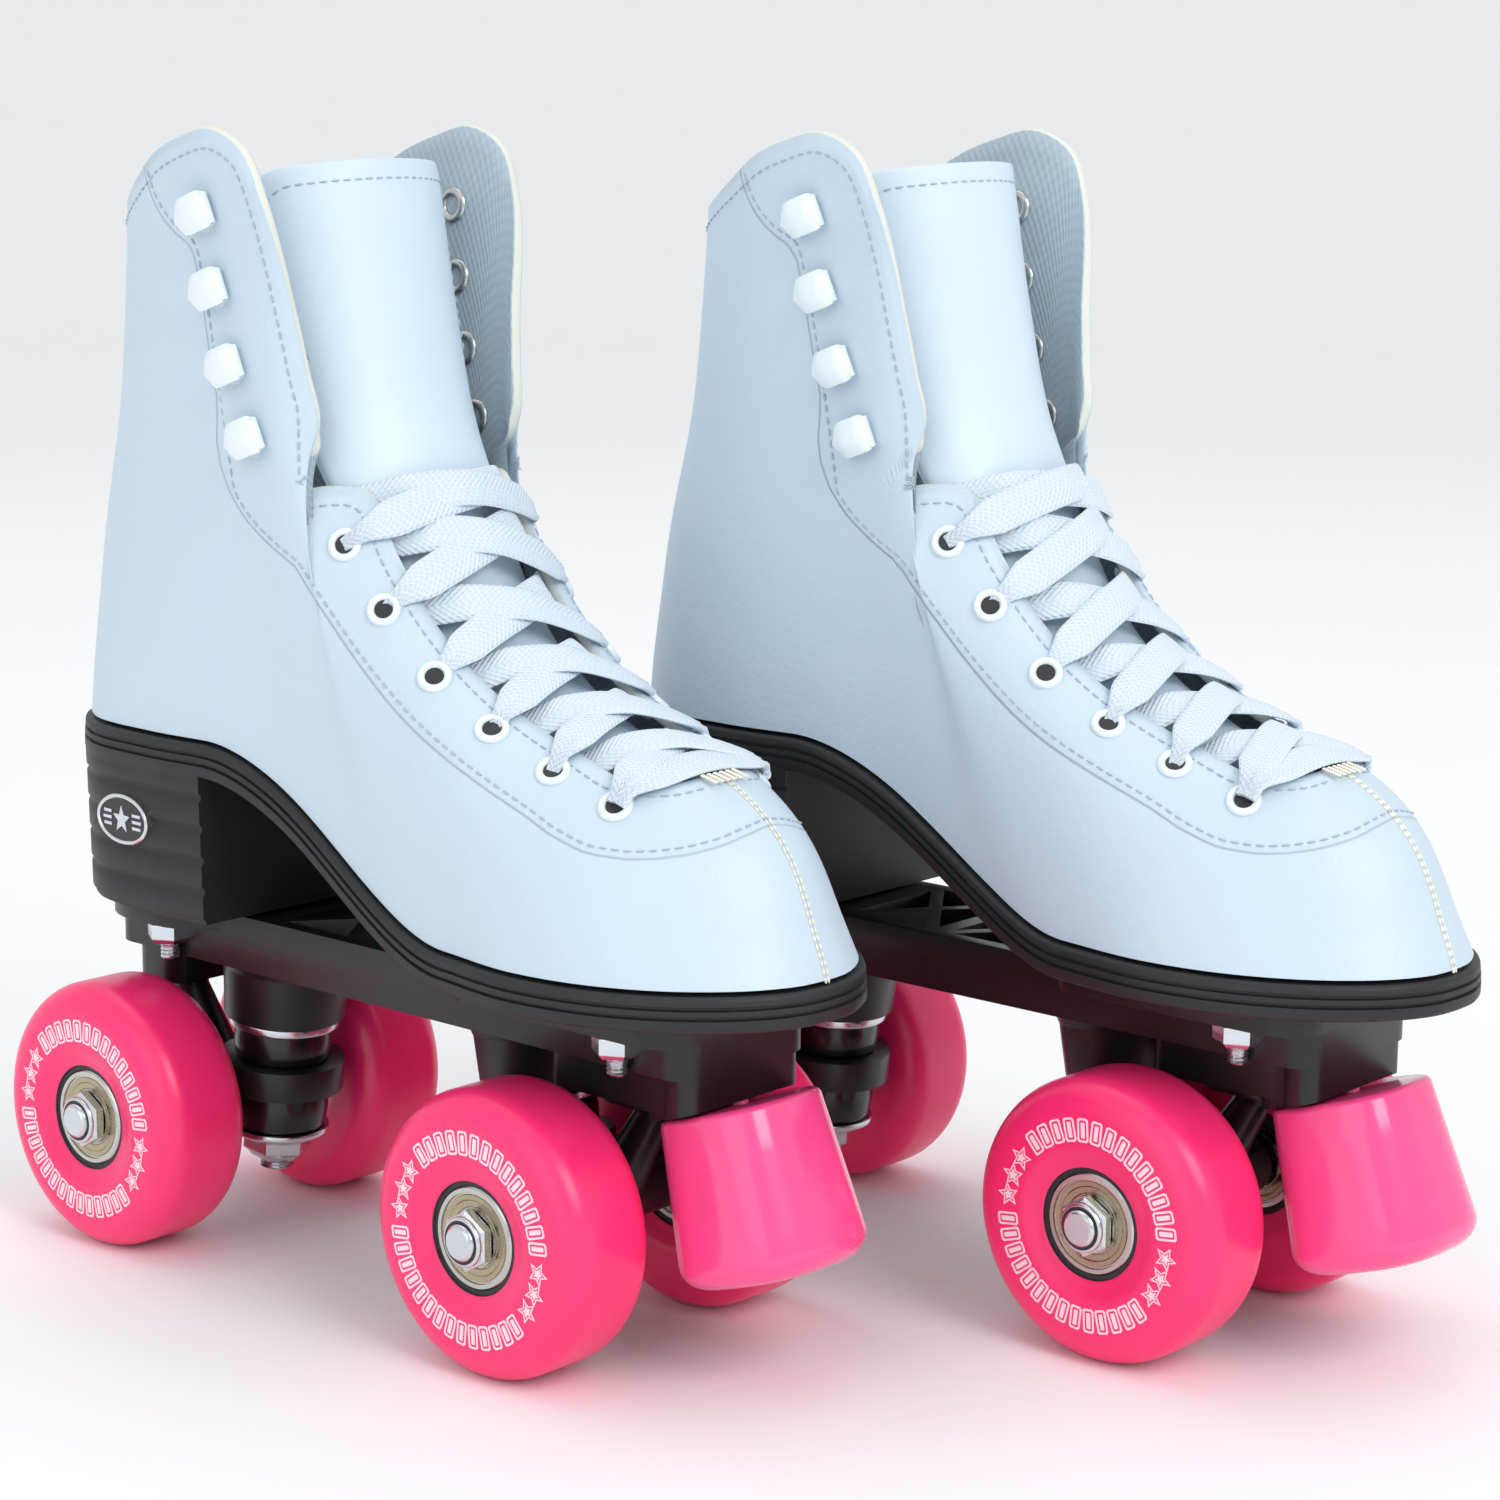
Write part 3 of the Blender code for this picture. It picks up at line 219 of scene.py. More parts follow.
def loft(rings: list, capped: bool = True) -> Shape:
    """Skin over a stack of equal rings of points."""
    count = len(rings[0])
    faces = grid_faces(len(rings), count, True)
    if capped:
        faces.append(tuple(range(count)))
        faces.append(tuple(range((len(rings) - 1) * count, len(rings) * count)))
    return Shape([p for ring in rings for p in ring], faces)


def turned(profile: list[tuple[float, float]], segments: int, along: Vector = Vector((1, 0, 0)),
           at: Vector = Vector((0, 0, 0)), slots: list[int] | None = None) -> Shape:
    """Round body turned from a closed profile.

    Args:
        profile: (distance along the axis, radius) pairs.
        segments: number of flats round the body.
        along: direction of the axis.
        at: where the profile's zero lies.
        slots: material slot of each profile piece.

    Returns:
        The round body.
    """
    turn = along.to_track_quat("X", "Z").to_matrix()
    columns = len(profile)
    points, faces, marks = [], [], []
    for s in range(segments):
        angle = 2 * math.pi * (s + 0.5) / segments
        points += [at + turn @ Vector((a, r * math.cos(angle), r * math.sin(angle))) for a, r in profile]
        t = (s + 1) % segments
        for c in range(columns):
            d = (c + 1) % columns
            faces.append((s * columns + c, s * columns + d, t * columns + d, t * columns + c))
            marks.append(slots[c] if slots else 0)
    return Shape(points, faces, marks)


def rod(start: Vector, end: Vector, radius: float, segments: int, end_radius: float | None = None) -> Shape:
    """Plain rod, or cone, between two points."""
    start, end = Vector(start), Vector(end)
    turn = (end - start).to_track_quat("Z", "Y").to_matrix()
    rings = []
    for point, size in ((start, radius), (end, radius if end_radius is None else end_radius)):
        rings.append([point + turn @ Vector((size * math.cos(2 * math.pi * k / segments),
                                             size * math.sin(2 * math.pi * k / segments), 0.0))
                      for k in range(segments)])
    return loft(rings)


def prism(outline: list, low: float, high: float) -> Shape:
    """Upright block with the given outline."""
    return loft([[(x, y, low) for x, y in outline], [(x, y, high) for x, y in outline]])


def rounded_rectangle(x0: float, x1: float, y0: float, y1: float, radius: float, steps: int = 8) -> list:
    """Outline of a rectangle with rounded corners."""
    corners = ((x1 - radius, y1 - radius, 0), (x0 + radius, y1 - radius, 90),
               (x0 + radius, y0 + radius, 180), (x1 - radius, y0 + radius, 270))
    outline = []
    for cx, cy, start in corners:
        for k in range(steps + 1):
            angle = math.radians(start + 90.0 * k / steps)
            outline.append((cx + radius * math.cos(angle), cy + radius * math.sin(angle)))
    return outline


def fillet(profile: list[tuple[float, float]], radius: float, steps: int = 4) -> list[tuple[float, float]]:
    """Closed profile with every corner rounded.

    Args:
        profile: corner points of the profile.
        radius: largest rounding; short edges get less.
        steps: points on each rounding.

    Returns:
        The rounded profile.
    """
    result = []
    count = len(profile)
    for k in range(count):
        before, here, after = (np.array(profile[(k + s) % count], float) for s in (-1, 0, 1))
        to_before, to_after = before - here, after - here
        reach = min(radius, 0.45 * np.linalg.norm(to_before), 0.45 * np.linalg.norm(to_after))
        if here[1] < 0.05 or reach < 0.02:
            result.append(tuple(here))
            continue
        start = here + to_before / np.linalg.norm(to_before) * reach
        end = here + to_after / np.linalg.norm(to_after) * reach
        for u in np.linspace(0.0, 1.0, steps):
            result.append(tuple((1 - u)**2 * start + 2 * u * (1 - u) * here + u**2 * end))
    return result


def carve(name: str, base: Shape, steps: list[tuple[Shape, str]], material: bpy.types.Material,
          bevel: float = 0.6) -> bpy.types.Mesh:
    """Joins and cuts closed shapes, then rounds the edges.

    Args:
        name: the mesh's name.
        base: shape to start from.
        steps: (shape, 'UNION' or 'DIFFERENCE') pairs.
        material: finish of the body.
        bevel: width of the edge rounding in millimetres.

    Returns:
        The finished mesh.
    """
    body = linked(name, base.mesh(name, []))
    tools = []
    for number, (shape, operation) in enumerate(steps):
        tool = linked(f"{name}_tool_{number}", shape.mesh(name, []))
        change = body.modifiers.new(f"step_{number}", "BOOLEAN")
        change.operation, change.solver, change.object = operation, "EXACT", tool
        tools.append(tool)
    if bevel > 0.0:
        weld = body.modifiers.new("weld", "WELD")
        weld.merge_threshold = 2e-6
        soften = body.modifiers.new("edges", "BEVEL")
        soften.width, soften.segments, soften.angle_limit = bevel * MM, 2, math.radians(32)
        soften.use_clamp_overlap = True
    mesh = bpy.data.meshes.new_from_object(body.evaluated_get(bpy.context.evaluated_depsgraph_get()))
    for used in tools + [body]:
        bpy.data.objects.remove(used)
    mesh.name = name
    mesh.materials.clear()
    mesh.materials.append(material)
    mesh.shade_smooth()
    mesh.set_sharp_from_angle(angle=math.radians(50))
    return mesh


# ---- Finishes ----

def linear(code: str) -> tuple[float, float, float, float]:
    """Linear colour from an sRGB hex code such as '#C0D0E0'."""
    channels = [int(code[k:k + 2], 16) / 255 for k in (1, 3, 5)]
    return tuple(c / 12.92 if c <= 0.04045 else ((c + 0.055) / 1.055)**2.4 for c in channels) + (1.0,)


def add(tree: bpy.types.NodeTree, kind: str, settings: dict | None = None, **links: object) -> bpy.types.Node:
    """Adds one node with its settings and its inputs.

    Args:
        tree: the node tree.
        kind: the node's type.
        settings: values of the node's own properties.
        links: input name (spaces as underscores, i0, i1 for numbered ones) to a value or an output socket.

    Returns:
        The new node.
    """
    node = tree.nodes.new(kind)
    for key, value in (settings or {}).items():
        setattr(node, key, value)
    for key, value in links.items():
        numbered = key[0] == "i" and key[1:].isdigit()
        socket = node.inputs[int(key[1:]) if numbered else key.replace("_", " ")]
        if isinstance(value, bpy.types.NodeSocket):
            tree.links.new(value, socket)
        else:
            socket.default_value = value
    return node


@dataclass(frozen=True)
class Finish:
    """Plain finish: a colour with a fine unevenness in tone and surface."""
    name: str
    colour: str
    roughness: float
    metallic: float = 0.0
    grain: float = 1.0             # size of the surface's grain, millimetres
    relief: float = 0.02           # depth of that grain, millimetres
    tone: float = 0.05             # how far the tone drifts
    coat: float = 0.0
    sheen: float = 0.0
    through: float = 0.0           # light carried under the surface

    def material(self) -> bpy.types.Material:
        """The finish's material, made once."""
        if self.name in bpy.data.materials:
            return bpy.data.materials[self.name]
        made = bpy.data.materials.new(self.name)
        made.use_nodes = True
        tree = made.node_tree
        shader = tree.nodes["Principled BSDF"]
        inputs = {"Roughness": self.roughness, "Metallic": self.metallic, "Coat Weight": self.coat,
                  "Coat Roughness": 0.12, "Sheen Weight": self.sheen}
        if self.through > 0.0:
            inputs |= {"Subsurface Weight": self.through, "Subsurface Radius": (1.0, 0.25, 0.35),
                       "Subsurface Scale": 3.0 * MM}
        for label, value in inputs.items():
            shader.inputs[label].default_value = value
        place = add(tree, "ShaderNodeTexCoord").outputs["Object"]
        colour, height = self.pattern(tree, place)
        tree.links.new(colour, shader.inputs["Base Color"])
        bump = add(tree, "ShaderNodeBump", Strength=1.0, Distance=self.relief * MM, Height=height)
        tree.links.new(bump.outputs["Normal"], shader.inputs["Normal"])
        return made

    def pattern(self, tree: bpy.types.NodeTree, place: bpy.types.NodeSocket) -> tuple:
        """Colour and height sockets of the finish."""
        grain = add(tree, "ShaderNodeTexNoise", Vector=place, Scale=1.0 / (self.grain * MM), Detail=3.0)
        return self.drift(tree, place, linear(self.colour)), grain.outputs["Fac"]

    def drift(self, tree: bpy.types.NodeTree, place: bpy.types.NodeSocket, colour: object) -> bpy.types.NodeSocket:
        """The colour, a little lighter and darker from place to place over about 25 mm."""
        cloud = add(tree, "ShaderNodeTexNoise", Vector=place, Scale=40.0, Detail=2.0)
        value = add(tree, "ShaderNodeMapRange", Value=cloud.outputs["Fac"],
                    To_Min=1.0 - self.tone, To_Max=1.0 + self.tone)
        shade = add(tree, "ShaderNodeHueSaturation", Value=value.outputs["Result"], Color=colour)
        return shade.outputs["Color"]


@dataclass(frozen=True)
class CoatedLeather(Finish):
    """Embossed synthetic leather: shallow pebbles about a millimetre apart, and the step of a sewn overlay with painted
    shade along its edge.
    """
    overlay: bool = True

    def pattern(self, tree: bpy.types.NodeTree, place: bpy.types.NodeSocket) -> tuple:
        """Colour and height sockets of the finish."""
        pebbles = add(tree, "ShaderNodeTexVoronoi", {"feature": "SMOOTH_F1"}, Vector=place,
                      Scale=1.0 / (self.grain * MM), Smoothness=0.6)
        pores = add(tree, "ShaderNodeTexNoise", Vector=place, Scale=1400.0, Detail=2.0)
        low = add(tree, "ShaderNodeMath", {"operation": "MULTIPLY"}, i0=pebbles.outputs["Distance"], i1=-0.55)
        fine = add(tree, "ShaderNodeMath", {"operation": "MULTIPLY_ADD"}, i0=pores.outputs["Fac"], i1=0.25,
                   i2=low.outputs[0])
        height = fine.outputs[0]
        colour = self.drift(tree, place, linear(self.colour))
        if self.overlay:
            seam = add(tree, "ShaderNodeAttribute", {"attribute_name": "seam"})
            step = add(tree, "ShaderNodeMapRange", {"interpolation_type": "SMOOTHSTEP"}, Value=seam.outputs["Fac"],
                       From_Min=-0.35, From_Max=0.35, To_Min=4.5, To_Max=0.0)
            rim = add(tree, "ShaderNodeAttribute", {"attribute_name": "rim"})
            lip = add(tree, "ShaderNodeMapRange", {"interpolation_type": "SMOOTHSTEP"}, Value=rim.outputs["Fac"],
                      From_Min=0.0, From_Max=2.2, To_Min=-3.0, To_Max=0.0)
            both = add(tree, "ShaderNodeMath", i0=step.outputs[0], i1=lip.outputs[0])
            height = add(tree, "ShaderNodeMath", i0=both.outputs[0], i1=height).outputs[0]
            # painted shade: along the overlay's edge the leather's colour is darkened towards #8FA3B4, standing in for
            # the shade in the groove at its step
            groove = add(tree, "ShaderNodeMath", {"operation": "ABSOLUTE"}, i0=seam.outputs["Fac"])
            line = add(tree, "ShaderNodeMapRange", Value=groove.outputs[0], From_Min=0.1, From_Max=0.7,
                       To_Min=0.14, To_Max=0.0)
            painted_shade = add(tree, "ShaderNodeMix", {"data_type": "RGBA"}, Factor=line.outputs[0])
            tree.links.new(colour, painted_shade.inputs[6])
            painted_shade.inputs[7].default_value = linear("#8FA3B4")
            colour = painted_shade.outputs[2]
        return colour, height


@dataclass(frozen=True)
class Woven(Finish):
    """Plain-woven cloth: threads cross every grain width on the cloth's own UV map."""

    def pattern(self, tree: bpy.types.NodeTree, place: bpy.types.NodeSocket) -> tuple:
        """Colour and height sockets of the finish."""
        surface = add(tree, "ShaderNodeUVMap", {"uv_map": "Surface"}).outputs["UV"]
        axes = add(tree, "ShaderNodeSeparateXYZ", i0=surface)
        waves = []
        for axis in (0, 1):
            turn = add(tree, "ShaderNodeMath", {"operation": "MULTIPLY"}, i0=axes.outputs[axis],
                       i1=math.pi / (self.grain * MM))
            waves.append(add(tree, "ShaderNodeMath", {"operation": "SINE"}, i0=turn.outputs[0]).outputs[0])
        cross = add(tree, "ShaderNodeMath", {"operation": "MULTIPLY"}, i0=waves[0], i1=waves[1])
        # painted shade: the cloth's colour darkens where the weave's height is low, between the threads
        shade = add(tree, "ShaderNodeMapRange", Value=cross.outputs[0], From_Min=-1.0, To_Min=0.90, To_Max=1.04)
        toned = add(tree, "ShaderNodeHueSaturation", Value=shade.outputs[0], Color=linear(self.colour))
        return self.drift(tree, place, toned.outputs["Color"]), cross.outputs[0]


@dataclass(frozen=True)
class Braid(Finish):
    """Flat braided lace: chevrons that meet along the middle, on a UV map in metres along and across."""

    def pattern(self, tree: bpy.types.NodeTree, place: bpy.types.NodeSocket) -> tuple:
        """Colour and height sockets of the finish."""
        surface = add(tree, "ShaderNodeUVMap", {"uv_map": "Surface"}).outputs["UV"]
        axes = add(tree, "ShaderNodeSeparateXYZ", i0=surface)
        side = add(tree, "ShaderNodeMath", {"operation": "ABSOLUTE"}, i0=axes.outputs[1])
        slant = add(tree, "ShaderNodeMath", {"operation": "MULTIPLY_ADD"}, i0=side.outputs[0], i1=1.1,
                    i2=axes.outputs[0])
        turn = add(tree, "ShaderNodeMath", {"operation": "MULTIPLY"}, i0=slant.outputs[0],
                   i1=2 * math.pi / (self.grain * MM))
        plait = add(tree, "ShaderNodeMath", {"operation": "SINE"}, i0=turn.outputs[0])
        thread = add(tree, "ShaderNodeMath", {"operation": "MULTIPLY"}, i0=axes.outputs[1],
                     i1=2 * math.pi / (0.95 * MM))
        rib = add(tree, "ShaderNodeMath", {"operation": "SINE"}, i0=thread.outputs[0])
        height = add(tree, "ShaderNodeMath", {"operation": "MULTIPLY_ADD"}, i0=rib.outputs[0], i1=0.45,
                     i2=plait.outputs[0])
        # painted shade: the lace's colour darkens where the braid's height is low, in the hollows between its chevrons
        # and threads
        shade = add(tree, "ShaderNodeMapRange", Value=height.outputs[0], From_Min=-1.4, From_Max=1.2,
                    To_Min=0.92, To_Max=1.02)
        toned = add(tree, "ShaderNodeHueSaturation", Value=shade.outputs[0], Color=linear(self.colour))
        return self.drift(tree, place, toned.outputs["Color"]), height.outputs[0]


@dataclass(frozen=True)
class Brushed(Finish):
    """Plated steel: tiny scratches vary the gloss instead of the colour."""

    def pattern(self, tree: bpy.types.NodeTree, place: bpy.types.NodeSocket) -> tuple:
        """Colour and height sockets of the finish, with the gloss linked to fine wear."""
        wear = add(tree, "ShaderNodeTexNoise", Vector=place, Scale=900.0, Detail=4.0, Distortion=1.5)
        gloss = add(tree, "ShaderNodeMapRange", Value=wear.outputs["Fac"], To_Min=self.roughness - 0.08,
                    To_Max=self.roughness + 0.14)
        tree.links.new(gloss.outputs[0], tree.nodes["Principled BSDF"].inputs["Roughness"])
        return self.drift(tree, place, linear(self.colour)), wear.outputs["Fac"]


class Surface(Enum):
    """Every finish on the skates."""
    # coated microfibre, embossed: soft highlights broken by pebbles a little over a millimetre apart
    LEATHER = CoatedLeather("embossed_synthetic_leather", "#C6D6E2", 0.42, grain=1.15, relief=0.10, tone=0.02)
    # the same coated microfibre on the padded tongue, pressed almost smooth
    SMOOTH_LEATHER = CoatedLeather("smooth_synthetic_leather", "#CFDFEC", 0.40, grain=0.9, relief=0.05, tone=0.02,
                                   overlay=False)
    # tricot lining, brushed: dull, with threads drawn twice as coarse as real so that they show
    LINING = Woven("tricot_lining", "#B4C4CE", 0.92, grain=0.9, relief=0.08, sheen=0.2, tone=0.04)
    # foam insole covered with non-woven cloth
    INSOLE = Woven("insole_cloth", "#8C959C", 0.95, grain=0.7, relief=0.08, sheen=0.15, tone=0.06)
    # raw cut edge of the coated leather: the cream backing shows
    CUT_EDGE = Finish("cut_leather_edge", "#DDDFD2", 0.75, grain=0.4, relief=0.08, tone=0.06)
    # bonded polyester thread, dull with a slight sheen
    GREY_THREAD = Finish("grey_polyester_thread", "#A7B9C8", 0.7, grain=0.25, relief=0.05, sheen=0.2)
    # the same thread in cream, thicker, for the seam down the toe
    CREAM_THREAD = Finish("cream_polyester_thread", "#EFEBDC", 0.7, grain=0.25, relief=0.05, sheen=0.2)
    # braided polyester: matt, with chevrons 1.5 mm apart
    LACE = Braid("braided_polyester_lace", "#DCE8F4", 0.88, grain=1.5, relief=0.10, sheen=0.25, tone=0.03)
    # stove enamel on pressed steel: glossy, a cool white
    ENAMEL = Finish("ivory_stove_enamel", "#E4EEF1", 0.22, grain=2.0, relief=0.01, coat=0.4, tone=0.02)
    # pressed inner washers, nickel plated
    NICKEL = Brushed("nickel_plate", "#C9C9C6", 0.25, 1.0, grain=0.5, relief=0.005, tone=0.03)
    # compression-moulded rubber: half matt black
    RUBBER = Finish("moulded_rubber", "#1C1C1E", 0.52, grain=0.6, relief=0.03, tone=0.15)
    # glass-filled nylon, injection moulded: black with a satin skin
    NYLON = Finish("glass_filled_nylon", "#161617", 0.36, grain=0.8, relief=0.015, tone=0.15)
    # cast urethane cushions: black, fairly glossy
    CUSHION = Finish("cushion_urethane", "#121213", 0.26, grain=3.0, relief=0.01, tone=0.1, coat=0.2)
    # poured urethane wheels: saturated pink, satin tread, light carried a few millimetres into the body
    PINK_WHEEL = Finish("cast_pink_urethane", "#FF2E72", 0.30, grain=1.4, relief=0.012, tone=0.03, through=0.12)
    # moulded urethane stopper: the same pink, glossier
    PINK_STOP = Finish("moulded_pink_urethane", "#FF4C90", 0.20, grain=2.5, relief=0.008, tone=0.02, coat=0.5,
                       through=0.10)
    # screen-printed ink
    INK = Finish("pale_printing_ink", "#FBDDE7", 0.45, grain=0.5, relief=0.01, tone=0.02)
    # bright zinc plate on turned and pressed steel
    ZINC = Brushed("bright_zinc_plate", "#D4D8DC", 0.20, 1.0, grain=0.4, relief=0.006, tone=0.04)
    # ground bearing steel, and its passivated shield with a slight straw tint
    RACE = Brushed("ground_bearing_steel", "#C8C6C0", 0.16, 1.0, grain=0.3, relief=0.004, tone=0.03)
    SHIELD = Brushed("passivated_steel_shield", "#B3A88C", 0.24, 1.0, grain=0.4, relief=0.004, tone=0.04)
    # nylon locking insert; the same dark finish is painted shade inside the hole of each eyelet, and colours the
    # wheel's bearing seat
    INSERT = Finish("nylon_locking_insert", "#26272A", 0.5, grain=0.5, relief=0.02)
    # polished metal of the badge's rim, star and bars: bright, with sharp highlights
    BADGE = Brushed("polished_badge_metal", "#D9DCE0", 0.18, 1.0, grain=0.4, relief=0.004, tone=0.02)
    # dark paint between them: half glossy
    BADGE_PAINT = Finish("badge_fill_paint", "#2A2C31", 0.4, grain=0.6, relief=0.01)

    @property
    def material(self) -> bpy.types.Material:
        """The finish's material."""
        return self.value.material()


# ---- Repeated things, by Geometry Nodes ----

class NodeTool:
    """Geometry Nodes trees for stitches and for fittings set on a surface."""

    def __init__(self) -> None:
        """Builds both trees."""
        self.stitches = self._tree("stitch_run", {"Spacing": 2.6, "Length": 1.9, "Width": 0.6}, None)
        self.fittings = self._tree("fitting_set", {}, "Fitting")

    @staticmethod
    def _tree(name: str, sizes: dict[str, float], prototype: str | None) -> bpy.types.NodeTree:
        """Builds one tree.

        Args:
            name: the tree's name.
            sizes: named size inputs with their defaults in millimetres.
            prototype: name of the object input, or None for a run of stitches.

        Returns:
            The node tree, ending in Realize Instances and Set Material.
        """
        tree = bpy.data.node_groups.new(name, "GeometryNodeTree")
        tree.interface.new_socket("Geometry", in_out="INPUT", socket_type="NodeSocketGeometry")
        tree.interface.new_socket("Geometry", in_out="OUTPUT", socket_type="NodeSocketGeometry")
        for label, size in sizes.items():
            tree.interface.new_socket(label, in_out="INPUT", socket_type="NodeSocketFloat").default_value = size * MM
        if prototype:
            tree.interface.new_socket(prototype, in_out="INPUT", socket_type="NodeSocketObject")
        tree.interface.new_socket("Finish", in_out="INPUT", socket_type="NodeSocketMaterial")
        given = add(tree, "NodeGroupInput").outputs
        if prototype:
            points = given["Geometry"]
            one = add(tree, "GeometryNodeObjectInfo", Object=given[prototype]).outputs["Geometry"]
            outward = add(tree, "GeometryNodeInputNamedAttribute", {"data_type": "FLOAT_VECTOR"}, Name="outward")
            forward = add(tree, "GeometryNodeInputNamedAttribute", {"data_type": "FLOAT_VECTOR"}, Name="forward")
            turn = add(tree, "FunctionNodeAxesToRotation", {"primary_axis": "Z", "secondary_axis": "X"},
                       i0=outward.outputs[0], i1=forward.outputs[0]).outputs[0]
        else:
            curve = add(tree, "GeometryNodeMeshToCurve", Mesh=given["Geometry"])
            resample = add(tree, "GeometryNodeResampleCurve", {"mode": "LENGTH"}, Curve=curve.outputs[0],
                           Length=given["Spacing"])
            points = resample.outputs[0]
            ball = add(tree, "GeometryNodeMeshUVSphere", Segments=6, Rings=4, Radius=0.5)
            width = add(tree, "ShaderNodeMath", {"operation": "MULTIPLY"}, i0=given["Width"], i1=0.75)
            size = add(tree, "ShaderNodeCombineXYZ", X=given["Length"], Y=given["Width"], Z=width.outputs[0])
            one = add(tree, "GeometryNodeTransform", Geometry=ball.outputs["Mesh"], Scale=size.outputs[0]).outputs[0]
            tangent = add(tree, "GeometryNodeInputTangent")
            turn = add(tree, "FunctionNodeAlignRotationToVector", {"axis": "X"}, Vector=tangent.outputs[0]).outputs[0]
        copies = add(tree, "GeometryNodeInstanceOnPoints", Points=points, Instance=one, Rotation=turn)
        real = add(tree, "GeometryNodeRealizeInstances", Geometry=copies.outputs[0])
        smooth = add(tree, "GeometryNodeSetShadeSmooth", Geometry=real.outputs[0])
        dressed = add(tree, "GeometryNodeSetMaterial", Geometry=smooth.outputs[0], Material=given["Finish"])
        add(tree, "NodeGroupOutput", Geometry=dressed.outputs[0])
        return tree

    @staticmethod
    def _run(tree: bpy.types.NodeTree, mesh: bpy.types.Mesh, values: dict[str, object], name: str) -> bpy.types.Mesh:
        """Evaluates a tree on a mesh and returns the plain result."""
        holder = linked(name, mesh)
        step = holder.modifiers.new("repeat", "NODES")
        step.node_group = tree
        for item in tree.interface.items_tree:
            if item.item_type == "SOCKET" and item.in_out == "INPUT" and item.name in values:
                step[item.identifier] = values[item.name]
        holder.update_tag()
        bpy.context.view_layer.update()
        result = bpy.data.meshes.new_from_object(holder.evaluated_get(bpy.context.evaluated_depsgraph_get()))
        bpy.data.objects.remove(holder)
        result.name = name
        return result

    def stitch(self, name: str, lines: list[np.ndarray], thread: Surface, spacing: float = 2.6,
               length: float = 1.9, width: float = 0.62) -> bpy.types.Mesh:
        """Sews along lines.

        Args:
            name: the mesh's name.
            lines: runs of points in millimetres, already lifted onto the surface.
            thread: finish of the thread.
            spacing: millimetres from stitch to stitch.
            length: visible length of one stitch.
            width: thickness of the thread.

        Returns:
            One mesh of small rounded stitches.
        """
        points, edges = [], []
        for line in lines:
            base = len(points)
            points += [metres(p) for p in line]
            edges += [(base + k, base + k + 1) for k in range(len(line) - 1)]
        mesh = bpy.data.meshes.new(name)
        mesh.from_pydata(points, edges, [])
        values = {"Spacing": spacing * MM, "Length": length * MM, "Width": width * MM, "Finish": thread.material}
        return self._run(self.stitches, mesh, values, name)

    def fit(self, name: str, prototype: Shape, finish: Surface, places: list[tuple]) -> bpy.types.Mesh:
        """Sets a copy of a fitting at each place.

        Args:
            name: the mesh's name.
            prototype: the fitting, standing on its Z axis with its front towards X.
            finish: its finish.
            places: (point, outward direction, forward direction) in millimetres.

        Returns:
            One mesh of all the fittings.
        """
        one = linked(f"{name}_one", prototype.mesh(f"{name}_one", [finish.material]))
        mesh = bpy.data.meshes.new(name)
        mesh.from_pydata([metres(p[0]) for p in places], [], [])
        for label, k in (("outward", 1), ("forward", 2)):
            layer = mesh.attributes.new(label, "FLOAT_VECTOR", "POINT")
            layer.data.foreach_set("vector", np.array([np.array(p[k], float) for p in places]).ravel())
        result = self._run(self.fittings, mesh, {"Fitting": one, "Finish": finish.material}, name)
        bpy.data.objects.remove(one)
        result.set_sharp_from_angle(angle=math.radians(40))
        return result


# ---- Pieces and the two skates ----

@dataclass
class Piece:
    """A finished mesh of the right skate, and how it is handed to the frame."""
    name: str
    mesh: bpy.types.Mesh
    body: str
    slot: str
    replaces: tuple[str, ...] = ()
    fill: float | None = None
    bend: tuple[tuple, tuple] | None = None
    squeeze: tuple[str, Vector, Vector, float] | None = None


@dataclass
class Skate:
    """One skate's place in the frame."""
    name: str
    mirrored: bool
    matrix: Matrix = field(init=False)

    def __post_init__(self) -> None:
        """Reads the skate's middle from its plate and axles."""
        low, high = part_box(f"{self.name}_plate")
        ends = [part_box(f"{self.name}_{end}_axle") for end in ("front", "rear")]
        x = 0.5 * (low[0] + high[0])
        y = sum(0.25 * (box[0][1] + box[1][1]) for box in ends)
        turn = Matrix.Scale(-1.0, 4, Vector((1, 0, 0))) if self.mirrored else Matrix.Identity(4)
        self.matrix = Matrix.Translation((x, y, 0.0)) @ turn

    def world(self, point: tuple) -> tuple[float, float, float]:
        """A point of the right skate, in millimetres, as a place in the frame in metres."""
        return tuple(self.matrix @ (Vector([float(c) for c in point]) * MM))

    def stand(self, piece: Piece) -> bpy.types.Object:
        """Stands a copy of a piece on this skate, hangs it from its body unless it carries a bend line, and hides the
        parts that it replaces.
        """
        mesh = piece.mesh.copy()
        mesh.transform(self.matrix)
        if self.mirrored:
            mesh.flip_normals()
        made = linked(f"{self.name}_{piece.name}", mesh)
        mesh.name = made.name
        if piece.bend:
            self.world(piece.bend[0])
            self.world(piece.bend[1])
            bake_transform(made)
        else:
            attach(made, f"{self.name}_{piece.body}")
        if piece.squeeze:
            joint, anchor, axis, keep = piece.squeeze
            fixed = Vector(self.world(anchor))
            axis = (Vector(self.world(anchor + axis)) - fixed).normalized()
            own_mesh(made)
        if piece.replaces:
            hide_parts(*[f"{self.name}_{node}" for node in piece.replaces])
        LOG.info("%s: %d faces on %s", made.name, len(mesh.polygons), piece.body)
        return made


# ---- The last: the form that sole, boot, tongue and lace share ----

